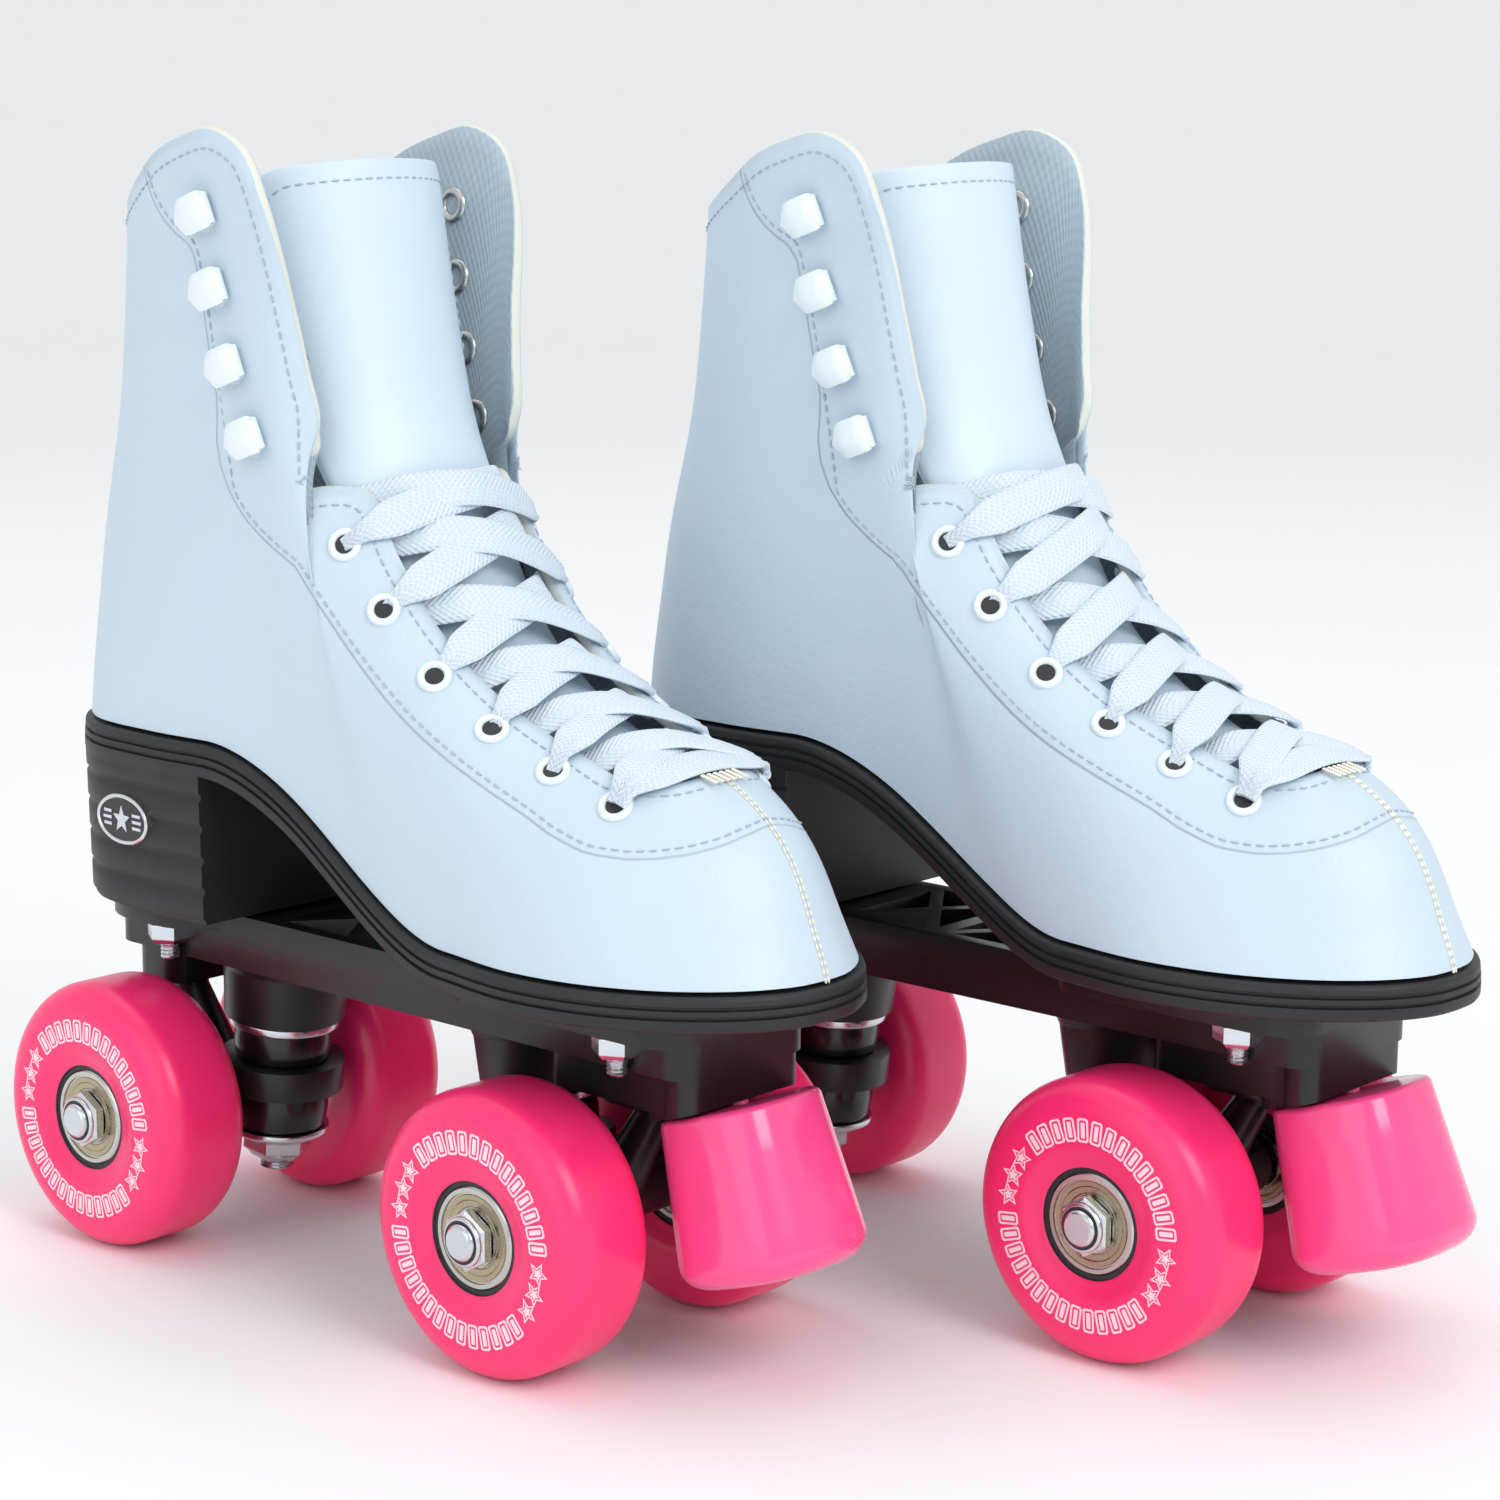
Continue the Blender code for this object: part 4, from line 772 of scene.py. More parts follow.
@dataclass
class Last:
    """Outline of the foot, height of the sole and line of the instep, in millimetres."""
    plate_top: float
    toe: float = -125.0
    heel: float = 92.0
    ball: tuple[float, float] = (39.5, 41.0)       # inner and outer half widths
    waist: tuple[float, float] = (29.5, 33.0)
    seat: tuple[float, float] = (33.5, 35.0)
    sole: float = 8.2
    heel_rise: float = 33.5
    arch: tuple[float, float] = (-50.0, 31.0)
    cuff_back_rise: float = 111.0
    cuff_peak_rise: float = 133.5
    cuff_back_y: float = 69.0
    flap_half: tuple[float, float] = (30.0, 39.0)
    eyelets: int = 6
    pitch: float = 16.7
    first_eyelet: float = 5.2
    eyelet_half_ends: tuple[float, float] = (22.0, 28.0)
    eyelet_to_edge: float = 6.5
    facing_tail: float = 9.0
    instep_round: tuple[float, float] = (52.0, 34.0)
    fold: float = 5.0

    def __post_init__(self) -> None:
        """Works out the heights and the instep line."""
        self.forefoot_top = self.plate_top + GAP + self.sole
        self.heel_top = self.forefoot_top + self.heel_rise
        self.cuff_back = self.heel_top + self.cuff_back_rise
        self.cuff_peak = self.heel_top + self.cuff_peak_rise
        self.facing = self.first_eyelet + (self.eyelets - 1) * self.pitch + self.facing_tail
        self.instep = spline([(y, self.forefoot_top + rise) for y, rise in
                              ((-92.0, 38.5), (-66.0, 47.0), (-51.0, 54.5), (-35.0, 67.5), (-27.0, 79.5),
                               (-18.5, 93.5), (-12.5, 105.5), (-5.5, 130.5), (0.5, 161.5))], 200)
        self.run = lengths(self.instep)

    @property
    def hinge(self) -> float:
        """Place along the instep line, a little above the facing, where the tongue would fold."""
        return self.facing + self.fold

    def sole_top(self, y: float) -> float:
        """Height of the top of the sole."""
        start, end = self.arch
        return self.forefoot_top + (self.heel_top - self.forefoot_top) * smooth_step((y - start) / (end - start))

    def outline(self, inner: bool, count: int, inset: float = 0.0) -> np.ndarray:
        """Half of the sole's outline.

        Args:
            inner: True for the inner side.
            count: number of points.
            inset: distance inside the outline.

        Returns:
            Points (x, y) from the toe round to the back of the heel.
        """
        k = 0 if inner else 1
        sign = 1.0 if inner else -1.0
        ball, waist, seat = self.ball[k], self.waist[k], self.seat[k]
        toe, heel = self.toe, self.heel
        points = [(0.0, toe), (0.16 * ball, toe + 0.5), (0.36 * ball, toe + 3.7), (0.68 * ball, toe + 15.0),
                  (0.91 * ball, toe + 32.0), (ball, toe + 52.0), (0.93 * ball, self.arch[0]),
                  (1.05 * waist, self.arch[0] + 27.0), (waist, self.arch[0] + 52.0),
                  (0.5 * (waist + seat), self.arch[1] - 6.0), (seat, heel - 42.0), (0.9 * seat, heel - 19.0),
                  (0.57 * seat, heel - 5.0), (0.26 * seat, heel - 0.9), (0.0, heel)]
        line = spline(points, count)
        line[:, 0] *= sign
        tangent = np.gradient(line, axis=0)
        tangent[0], tangent[-1] = (sign, 0.0), (-sign, 0.0)
        tangent /= np.linalg.norm(tangent, axis=1)[:, None]
        line = line + np.stack([-tangent[:, 1], tangent[:, 0]], axis=1) * sign * inset
        line[0, 0] = line[-1, 0] = 0.0
        return line

    def loop(self, count: int, inset: float = 0.0) -> np.ndarray:
        """Closed outline of the sole."""
        return np.concatenate([self.outline(True, count, inset), self.outline(False, count, inset)[::-1][1:-1]])

    def instep_frame(self, along: float) -> tuple[np.ndarray, np.ndarray]:
        """Point and outward normal of the instep line, as (y, z)."""
        def place(distance: float) -> np.ndarray:
            """Point of the line at a distance."""
            return np.array([np.interp(distance, self.run, self.instep[:, k]) for k in range(2)])

        end = float(self.run[-1])
        middle = min(max(along, 3.0), end - 3.0)
        tangent = place(middle + 3.0) - place(middle - 3.0)
        tangent /= np.linalg.norm(tangent)
        inside = min(max(along, 0.0), end)
        return place(inside) + tangent * (along - inside), np.array([-tangent[1], tangent[0]])

    def on_instep(self, along: float, x: float, radius: float, lift: float = 0.0) -> tuple[np.ndarray, np.ndarray]:
        """Point on the rounded instep, x off the middle, and its outward normal."""
        point, normal = self.instep_frame(along)
        slope = x / radius
        flat = math.sqrt(max(1.0 - slope * slope, 0.0))
        yz = point - normal * radius * (1.0 - flat)
        out = np.array([slope, flat * normal[0], flat * normal[1]])
        return np.array([x, yz[0], yz[1]]) + out * lift, out

    def _between(self, along: float, ends: tuple[float, float]) -> float:
        """Value between two ends of the facing."""
        return ends[0] + (ends[1] - ends[0]) * min(max(along / self.facing, 0.0), 1.0)

    def roundness(self, along: float) -> float:
        """Radius of the instep under the lacing."""
        return self._between(along, self.instep_round)

    def eyelet_half(self, along: float) -> float:
        """Half the distance between the two rows of eyelets."""
        return self._between(along, self.eyelet_half_ends)

    def eyelet_along(self, index: int) -> float:
        """Place of an eyelet along the instep."""
        return self.first_eyelet + index * self.pitch


# ---- Boot ----

@dataclass
class Upper:
    """Leather boot: shell, lining, cut edges, stitches, eyelets, hooks and washers."""
    last: Last
    tool: NodeTool
    wall: float = 2.4
    inset: float = 1.8
    board: float = 3.0
    fineness: int = 6              # columns drawn between two guiding ones
    rows: int = 30
    smoothing: tuple[int, int] = (190, 60)          # passes that even out the columns, at their foot and at the rim
    waves: float = 0.028           # waves of the leather's slow unevenness in a millimetre, and their height
    unevenness: float = 0.9
    stitch_in: float = 3.8         # edge stitching, in from the cut edge
    overlay: tuple[float, float] = (18.0, 25.5)     # width of the overlay at the eyelets and at the hooks
    hooks: tuple = ((21.0, 238.0), (18.5, 222.0), (14.5, 206.0), (9.5, 191.0))

    def guide(self) -> tuple[np.ndarray, ...]:
        """Guiding columns on one side: rim point, share round the foot, lower and upper handles."""
        last = self.last
        rims, shares, lows, highs = [], [], [], []

        def put(points: list, span: tuple, low: tuple, high: tuple) -> None:
            """Adds columns with handles that change evenly from the first to the last."""
            for k, point in enumerate(points):
                u = k / (len(points) - 1)
                rims.append(np.array(point))
                shares.append(span[0] + (span[1] - span[0]) * u)
                lows.append(np.array(low[0]) * (1 - u) + np.array(low[1]) * u)
                highs.append(np.array(high[0]) * (1 - u) + np.array(high[1]) * u)

        def edge(along: float) -> tuple[np.ndarray, np.ndarray]:
            """Point and normal on the facing's cut edge."""
            return last.on_instep(along, last.eyelet_half(along) - last.eyelet_to_edge, last.roundness(along))

        def fall(along: float, length: float) -> tuple[float, float, float]:
            """Handle that follows the instep's roundness outwards from the edge."""
            n = edge(along)[1]
            return length * math.hypot(n[1], n[2]), -length * n[0] * n[1], -length * n[0] * n[2]

        low_half, top_half = last.flap_half
        peak, back = last.cuff_peak, last.cuff_back
        throat = last.on_instep(0.0, 0.0, last.instep_round[0])[0]
        first = last.first_eyelet + 1.0
        corner = edge(last.facing)[0]
        notch = corner + np.array([low_half + 1.0 - corner[0], 13.0, 1.0])
        flap_low = notch + np.array([-0.8, -8.0, 12.0])
        put([throat, last.on_instep(0.6, 0.45 * last.eyelet_half_ends[0], last.instep_round[0])[0], edge(first)[0]],
            (0.0, 0.16), ((4, 20), (3, 22)), ((22, 0, -1), fall(last.first_eyelet, 14.0)))
        put([edge(first + (last.facing - first) * k / 6)[0] for k in range(1, 7)], (0.20, 0.40), ((3, 24), (1, 34)),
            (fall(last.eyelet_along(1), 14.5), (10, 8, -9)))
        put([0.5 * (corner + notch), notch - np.array([1.2, 1.6, 1.0]), notch], (0.42, 0.455), ((1, 34), (0.5, 34)),
            ((8, 8, -12), (5, 8, -17)))
        put([notch + np.array([-0.7, -6.0, 7.5]), flap_low], (0.475, 0.49), ((0.5, 34), (0.5, 36)),
            ((3, 13, -12), (2, 16, -9)))
        lead = spline([tuple(flap_low),
                       (0.5 * (low_half + top_half) - 1.5, -3.0, 0.4 * flap_low[2] + 0.6 * peak - 16.0),
                       (top_half - 0.8, 3.0, peak - 12.5), (top_half, 8.5, peak - 3.2), (top_half, 18.0, peak)], 7)
        put(list(lead[1:]), (0.505, 0.60), ((0.5, 36), (0, 38)), ((1, 16, -10), (-2.5, 6, -34)))
        self.front_columns = len(rims)
        rear = spline([(top_half, 18.0, peak), (top_half - 0.5, 33.0, peak - 3.5), (top_half - 5.0, 48.0, back + 11.0),
                       (0.62 * top_half, last.cuff_back_y - 6.5, back + 4.0),
                       (0.3 * top_half, last.cuff_back_y - 1.0, back + 0.5), (0.0, last.cuff_back_y, back)], 9)
        put(list(rear[1:]), (0.635, 1.0), ((0, 38), (6, 40)), ((-2.5, 5, -35), (4, 0, -45)))
        return np.array(rims), np.array(shares), np.array(lows, float), np.array(highs, float)

    def half(self, inner: bool) -> np.ndarray:
        """Outer surface of one side as columns of points from the sole to the rim."""
        last = self.last
        rims, shares, lows, highs = self.guide()
        knots = lengths(rims)
        places = np.concatenate([np.linspace(a, b, self.fineness + 1)[:-1] for a, b in zip(knots[:-1], knots[1:])]
                                + [knots[-1:]])
        rims = hermite(knots, rims, places)
        share = np.interp(places, knots, shares)
        lows = np.stack([np.interp(places, knots, lows[:, k]) for k in range(2)], axis=1)
        highs = np.stack([np.interp(places, knots, highs[:, k]) for k in range(3)], axis=1)
        sign = 1.0 if inner else -1.0
        line = last.outline(inner, 401, self.inset)
        tangent = np.gradient(line, axis=0)
        tangent /= np.linalg.norm(tangent, axis=1)[:, None]
        outward = np.stack([tangent[:, 1], -tangent[:, 0]], axis=1) * sign
        outward[0], outward[-1] = (0.0, -1.0), (0.0, 1.0)
        frames = []
        for rim, s, low, high in zip(rims, share, lows, highs):
            base = np.array([np.interp(s * 400, range(401), line[:, k]) for k in range(2)])
            out = np.array([np.interp(s * 400, range(401), outward[:, k]) for k in range(2)] + [0.0])
            foot = np.array([base[0], base[1], last.sole_top(base[1]) + GAP])
            top = np.array([sign * rim[0], rim[1], rim[2]])
            sideways = smooth_step((s - 0.04) / 0.12) * (1.0 - smooth_step((s - 0.72) / 0.18))
            side = out * (1.0 - sideways) + np.array([sign, 0.0, 0.0]) * sideways
            frames.append((foot, foot + out * low[0] + np.array([0, 0, low[1]]),
                           top + side * high[0] + np.array([0.0, high[1], high[2]]), top))
        frames = np.array(frames)
        for handle, passes in ((1, self.smoothing[0]), (2, self.smoothing[1])):
            for _ in range(passes):
                beside = frames[:-2, handle] + frames[2:, handle]
                frames[1:-1, handle] = 0.5 * frames[1:-1, handle] + 0.25 * beside
        t = np.linspace(0.0, 1.0, self.rows)
        blend = np.stack([(1 - t)**3, 3 * (1 - t)**2 * t, 3 * (1 - t) * t**2, t**3], axis=1)
        return np.einsum("rk,ckd->crd", blend, frames)

    def draw(self) -> None:
        """Works out the skin, its normals and the distances that place seams and stitches."""
        inner, outer = self.half(True), self.half(False)
        self.half_count = len(inner)
        around = np.concatenate([inner, outer[::-1][1:-1]])
        self.skin = around.transpose(1, 0, 2)
        self.even_out()
        relief = np.array([[noise.noise(Vector(p) * self.waves) for p in row] for row in self.skin])
        up = np.gradient(self.skin, axis=0)
        normal = np.cross(np.roll(self.skin, -1, axis=1) - np.roll(self.skin, 1, axis=1), up)
        normal /= np.linalg.norm(normal, axis=2)[:, :, None]
        fade = np.sin(np.linspace(0.0, math.pi, self.rows))[:, None, None]
        height = self.skin[:, :, 2]
        self.skin = self.skin + normal * relief[:, :, None] * self.unevenness * fade
        middle = np.full_like(height, 35.0)
        inside = np.stack([np.zeros_like(height), middle, np.minimum(height - 20.0, 160.0)], axis=2)
        normal *= np.where(np.einsum("rck,rck->rc", normal, self.skin - inside) < 0.0, -1.0, 1.0)[:, :, None]
        for _ in range(12):
            near = np.roll(normal, 1, axis=1) + np.roll(normal, -1, axis=1)
            normal = normal + 0.5 * near
            normal[1:-1] = normal[1:-1] + 0.3 * (normal[:-2] + normal[2:])
            normal /= np.linalg.norm(normal, axis=2)[:, :, None]
        self.normal = normal
        count = len(around)
        rim = self.skin[-1]
        closed = np.concatenate([rim, rim[:1]])
        reach = (self.front_columns - 1) * self.fineness + 1
        ease = self.fineness * 2
        corner, low = self.fineness * 8, self.fineness * 12
        sides = []
        for sign in (1, -1):
            index = [(sign * k) % count for k in range(reach) if k <= corner or k >= low]
            sides.append(rim[index])
        front = np.concatenate([sides[1][::-1], sides[0][1:]])
        flat = self.skin.reshape(-1, 3)
        self.rim_distance = distance_to_line(flat, closed[::2]).reshape(self.rows, count)
        front_distance = distance_to_line(flat, front[::2]).reshape(self.rows, count)
        width = [self.overlay[0] + (self.overlay[1] - self.overlay[0]) * smooth_step((z - 140.0) / 50.0)
                 for z in flat[:, 2]]
        self.seam_distance = front_distance - np.array(width).reshape(self.rows, count)
        self.reach, self.ease = reach, ease
        faces = [tuple(f) for f in grid_faces(self.rows, count, True)]
        self.tree = BVHTree.FromPolygons([Vector(p) for p in flat], faces)

    def even_out(self, passes: int = 220) -> None:
        """Softens the fold that the leather would make below the notch, on both sides."""
        count = self.skin.shape[1]
        middle, spread = self.fineness * 10, self.fineness * 8
        column = np.arange(count)
        away = np.minimum(np.abs(column - middle), np.abs(column - (count - middle)))
        across = np.clip(1.5 - away / spread, 0.0, 1.0)
        row = np.arange(self.rows)
        down = np.clip((self.rows - 1 - row) / 6.0, 0.0, 1.0) * np.clip(row / 5.0, 0.0, 1.0)
        weight = 0.5 * (down[:, None] * across[None, :])[1:-1, :, None]
        for _ in range(passes):
            beside = np.roll(self.skin, 1, axis=1) + np.roll(self.skin, -1, axis=1)
            mean = 0.25 * (beside[1:-1] + self.skin[:-2] + self.skin[2:])
            self.skin[1:-1] += weight * (mean - self.skin[1:-1])

    def shell(self) -> bpy.types.Mesh:
        """Leather, lining and the cut edge between them, as one closed shell."""
        rows, count = self.skin.shape[:2]
        lining = self.skin - self.normal * self.wall
        lining[0, :, 2] = self.skin[0, :, 2] + self.board
        lining[1:4, :, 2] = np.maximum(lining[1:4, :, 2], lining[0, :, 2] + 0.2)
        rise = self.skin[-1] - self.skin[-2]
        rise /= np.linalg.norm(rise, axis=1)[:, None]
        rolls = [self.skin[-1] * (1 - u) + lining[-1] * u + rise * 0.75 * math.sin(math.pi * u)
                 for u in (0.12, 0.35, 0.65, 0.88)]
        sheet = np.concatenate([self.skin, np.array(rolls), lining[::-1]])
        total = len(sheet)
        points = sheet.reshape(-1, 3)
        faces = grid_faces(total, count, True)
        slots = []
        for r in range(total - 1):
            slots += [0 if r < rows else (2 if r < rows + 3 else 1)] * count
        for base in (0, (total - 1) * count):
            faces += cap_faces(base, self.half_count, count)
            slots += [1] * (self.half_count - 1)
        u = lengths(self.skin[rows // 2])
        v = lengths(sheet[:, count // 4])
        uv = [(u[c] * MM, v[r] * MM) for r in range(total) for c in range(count)]
        far = np.full((total - rows, count), OFF_SEAM)
        marks = {"seam": np.concatenate([self.seam_distance, far]).ravel(),
                 "rim": np.concatenate([self.rim_distance, np.zeros_like(far)]).ravel()}
        shape = Shape(points, faces, slots, uv, marks)
        materials = [Surface.LEATHER.material, Surface.LINING.material, Surface.CUT_EDGE.material]
        return shape.mesh("boot", materials, sharp=60.0)

    def line_at(self, distance: np.ndarray, target: float, columns: list[int], lift: float = 0.12) -> np.ndarray:
        """Points on the skin at a given distance below the rim.

        Args:
            distance: distance of each skin point.
            target: the distance to follow.
            columns: columns of the skin to cross, in order.
            lift: height above the skin.

        Returns:
            The line's points.
        """
        line = []
        for c in columns:
            for r in range(self.rows - 1, 0, -1):
                a, b = distance[r, c], distance[r - 1, c]
                if a <= target < b:
                    u = (target - a) / (b - a)
                    point = self.skin[r, c] * (1 - u) + self.skin[r - 1, c] * u
                    line.append(point + self.normal[r, c] * lift)
                    break
        return np.array(line)

    def surface(self, point: np.ndarray, direction: np.ndarray) -> tuple[np.ndarray, np.ndarray]:
        """Where a line from a point meets the skin, with the skin's outward normal."""
        hit, normal, _, _ = self.tree.ray_cast(Vector(point), Vector(direction))
        if hit is None:
            hit, normal, _, _ = self.tree.find_nearest(Vector(point))
        normal = np.array(normal)
        if normal @ np.array(direction) > 0:
            normal = -normal
        return np.array(hit), normal

    def ring(self, outer: float, hole: float, height: float) -> Shape:
        """Rolled eyelet ring standing on its Z axis."""
        profile = []
        for k in range(9):
            angle = math.pi * k / 8
            profile.append((height * math.sin(angle), 0.5 * (outer + hole) + 0.5 * (outer - hole) * math.cos(angle)))
        profile += [(-1.2, hole), (-1.2, hole + 0.35), (-0.3, outer - 0.2)]
        return turned(profile, 28, Vector((0, 0, 1)))

    def hook(self) -> Shape:
        """Pressed lace hook: a foot, a short neck and a domed tab folded back over the foot."""
        path = spline([(3.2, 0.35), (0.0, 0.4), (-2.9, 0.7), (-4.3, 2.0), (-3.6, 3.5), (-1.2, 4.3), (2.0, 4.45),
                       (4.4, 3.5)], 26)
        tangent = np.gradient(path, axis=0)
        tangent /= np.linalg.norm(tangent, axis=1)[:, None]
        normal = np.stack([-tangent[:, 1], tangent[:, 0]], axis=1)
        rings = []
        for k, (p, n) in enumerate(zip(path, normal)):
            share = k / (len(path) - 1)
            half = 4.1
            if share < 0.18:
                half *= math.sqrt(max(1.0 - ((0.18 - share) / 0.185)**2, 0.02))
            elif share < 0.55:
                half *= 1.0 - 0.22 * math.sin(math.pi * (share - 0.18) / 0.37)
            elif share > 0.78:
                half *= math.sqrt(max(1.0 - ((share - 0.78) / 0.225)**2, 0.02))
            ring = []
            for m in range(15):
                v = 2 * m / 14 - 1
                ring.append((p[0], half * v, p[1] - (1.2 * v * v if share > 0.5 else 0.0)))
            back = [(x + n[0] * 0.8, y, z + n[1] * 0.8) for x, y, z in ring[::-1]]
            rings.append(ring + back)
        return loft(rings)

    def fittings(self) -> list[Piece]:
        """Eyelets with painted shade in their holes, hooks and the washers inside the flaps."""
        last = self.last
        eyelets, hooks, inside = [], [], []
        for side in (-1, 1):
            for index in range(last.eyelets):
                along = last.eyelet_along(index)
                start, out = last.on_instep(along, side * last.eyelet_half(along), last.roundness(along), 8.0)
                point, normal = self.surface(start, -out)
                eyelets.append((point + normal * 0.05, normal, (0, 1, 0)))
            for y, z in self.hooks:
                point, normal = self.surface(np.array([side * 70.0, y, z]), np.array([-side, 0.0, 0.0]))
                down = np.array([0.0, 0.93, -0.36])
                hooks.append((point + normal * 0.1, normal, down))
                inside.append((point - normal * (self.wall + 0.1), -normal, down))
        eye = self.tool.fit("eyelets", self.ring(3.75, 2.0, 1.0), Surface.ENAMEL, eyelets)
        # painted shade: a dark disc in each eyelet's hole stands in for the shade inside it
        painted_shade = self.tool.fit("eyelet_holes", turned([(-0.3, 0.01), (-0.3, 2.2), (0.25, 2.2), (0.25, 0.01)], 20,
                                                    Vector((0, 0, 1))), Surface.INSERT, eyelets)
        hook = self.tool.fit("lace_hooks", self.hook(), Surface.ENAMEL, hooks)
        rivet = self.tool.fit("inner_washers", self.ring(4.2, 2.0, 0.8), Surface.NICKEL, inside)
        return [Piece("eyelets", eye, "chassis", "white_leather"),
                Piece("eyelet_holes", painted_shade, "chassis", "black_rubber"),
                Piece("lace_hooks", hook, "chassis", "white_leather"),
                Piece("inner_washers", rivet, "chassis", "bright_steel")]

    def sewing(self) -> list[Piece]:
        """Grey edge and overlay stitches, and the cream toe seam with its bartack."""
        count = self.skin.shape[1]
        lines = []
        every = list(range(4, count - 3))
        lines.append(self.line_at(self.rim_distance, self.stitch_in, every))
        for sign in (1, -1):
            columns = [(sign * k) % count for k in range(0, self.reach + self.ease * 4)]
            lines.append(self.line_at(self.seam_distance, -1.6, columns))
        lines = [line for line in lines if len(line) > 2]
        grey = self.tool.stitch("seam_stitches", lines, Surface.GREY_THREAD)
        toe = self.skin[:-1, 0][::-1] + self.normal[:-1, 0][::-1] * 0.15
        cream_lines = [toe + np.array([x, 0, 0]) for x in (-0.45, 0.45)]
        bar = self.skin[-1, 0]
        for k in range(7):
            cream_lines.append(np.array([bar + np.array([x, -1.4 - 0.62 * k, 0.35 - 0.14 * k])
                                         for x in (-4.6, -2.3, 0.0, 2.3, 4.6)]))
        cream = self.tool.stitch("toe_seam", cream_lines, Surface.CREAM_THREAD, 1.7, 1.6, 0.75)
        return [Piece("seam_stitches", grey, "chassis", "white_leather"),
                Piece("toe_seam", cream, "chassis", "white_leather")]

    def pieces(self) -> list[Piece]:
        """Everything the upper is made of."""
        self.draw()
        boot = Piece("boot", self.shell(), "chassis", "white_leather", ("boot_upper",))
        return [boot] + self.fittings() + self.sewing()


@dataclass
class Tongue:
    """Padded tongue: thin at its sewn edges, crowned along the middle, bent where it leaves the lacing."""
    last: Last
    tool: NodeTool
    thickness: float = 4.0
    edge: float = 1.6
    sink: tuple[float, float] = (4.0, 2.6)         # below the instep under the lace, and above it
    roundness: tuple[float, float] = (27.0, 34.0)
    halves: tuple[float, float, float] = (18.5, 26.5, 33.0)
    corner: float = 9.0
    rows: int = 84
    columns: int = 34
    bend: float = 22.0             # length of the line handed with the tongue from its fold upwards; the side stitching starts past it
    stitch_in: float = 4.2

    def half_width(self, along: float) -> float:
        """Half the tongue's width, with round top corners."""
        end = float(self.last.run[-1])
        half = float(np.interp(along, (0.0, self.last.hinge, end), self.halves))
        into = max(along - (end - self.corner), 0.0) / self.corner
        return half - self.corner * (1.0 - math.sqrt(max(1.0 - into * into, 0.0))) * 0.98

    def face(self, along: float, x: float, depth: float) -> np.ndarray:
        """Point on the tongue's front, depth below it."""
        end = float(self.last.run[-1])
        radius = self.roundness[0] + (self.roundness[1] - self.roundness[0]) * smooth_step(along / end)
        sink = self.sink[0] + (self.sink[1] - self.sink[0]) * smooth_step((along - self.last.facing + 12.0) / 14.0)
        sink += 2.0 * smooth_step((12.0 - along) / 12.0)
        return self.last.on_instep(along, x, radius, -sink - depth)[0]

    def pieces(self) -> list[Piece]:
        """The tongue and its edge stitching."""
        end = float(self.last.run[-1])
        angles = np.linspace(-math.pi / 2, math.pi / 2, self.columns)
        rings, uv = [], []
        steps = np.concatenate([np.linspace(-5.0, end - self.corner, self.rows - 24)[:-1],
                                end - self.corner * (1.0 - np.sin(np.linspace(0.0, math.pi / 2, 25)))])
        for along in steps:
            half = self.half_width(along)
            full = self.edge + (self.thickness - self.edge) * smooth_step((end - along) / 9.0)
            front, back = [], []
            for a in angles:
                x = half * math.sin(a)
                swell = self.edge + (full - self.edge) * smooth_step((half - abs(x)) / 8.0)
                rounding = 0.5 * self.edge * (1.0 - smooth_step((half - abs(x)) / 0.9))
                front.append(self.face(along, x, 0.9 - 0.9 * smooth_step((half - abs(x)) / 7.0) + rounding))
                back.append(self.face(along, x, 0.9 + swell - rounding))
            rings.append(front + back[::-1])
            uv += [(p[0] * MM, along * MM) for p in front + back[::-1]]
        shape = loft(rings)
        shape.uv = uv
        low = self.columns
        count = 2 * self.columns
        shape.slots = [1 if (f % count) >= low else 0 for f in range((len(rings) - 1) * count)] + [0, 0]
        mesh = shape.mesh("tongue", [Surface.SMOOTH_LEATHER.material, Surface.LINING.material], sharp=70.0)
        fold, normal = self.last.instep_frame(self.last.hinge)
        up = np.array([normal[1], -normal[0]])
        bend = ((0.0, *fold), (0.0, *(fold + up * self.bend)))
        line = []
        sides = np.linspace(self.last.hinge + self.bend + 2.0, end - self.corner, 12)
        inset = self.stitch_in
        line += [self.face(a, -(self.half_width(a) - inset), -0.12) for a in sides]
        inner = self.corner - inset
        reach = self.half_width(end - self.corner) - self.corner
        for k in range(1, 9):
            turn = math.pi / 2 * k / 8
            along = end - self.corner + inner * math.sin(turn)
            line.append(self.face(along, -(reach + inner * math.cos(turn)), -0.12))
        top = end - inset
        line += [self.face(top, x, -0.12) for x in np.linspace(-reach + 2.0, reach - 2.0, 10)]
        line += [p * np.array([-1, 1, 1]) for p in line[:20][::-1]]
        sewn = self.tool.stitch("tongue_stitches", [np.array(line)], Surface.GREY_THREAD)
        return [Piece("tongue", mesh, "chassis", "white_leather", ("tongue_lower", "tongue_upper"), 0.35, bend),
                Piece("tongue_stitches", sewn, "tongue", "white_leather")]


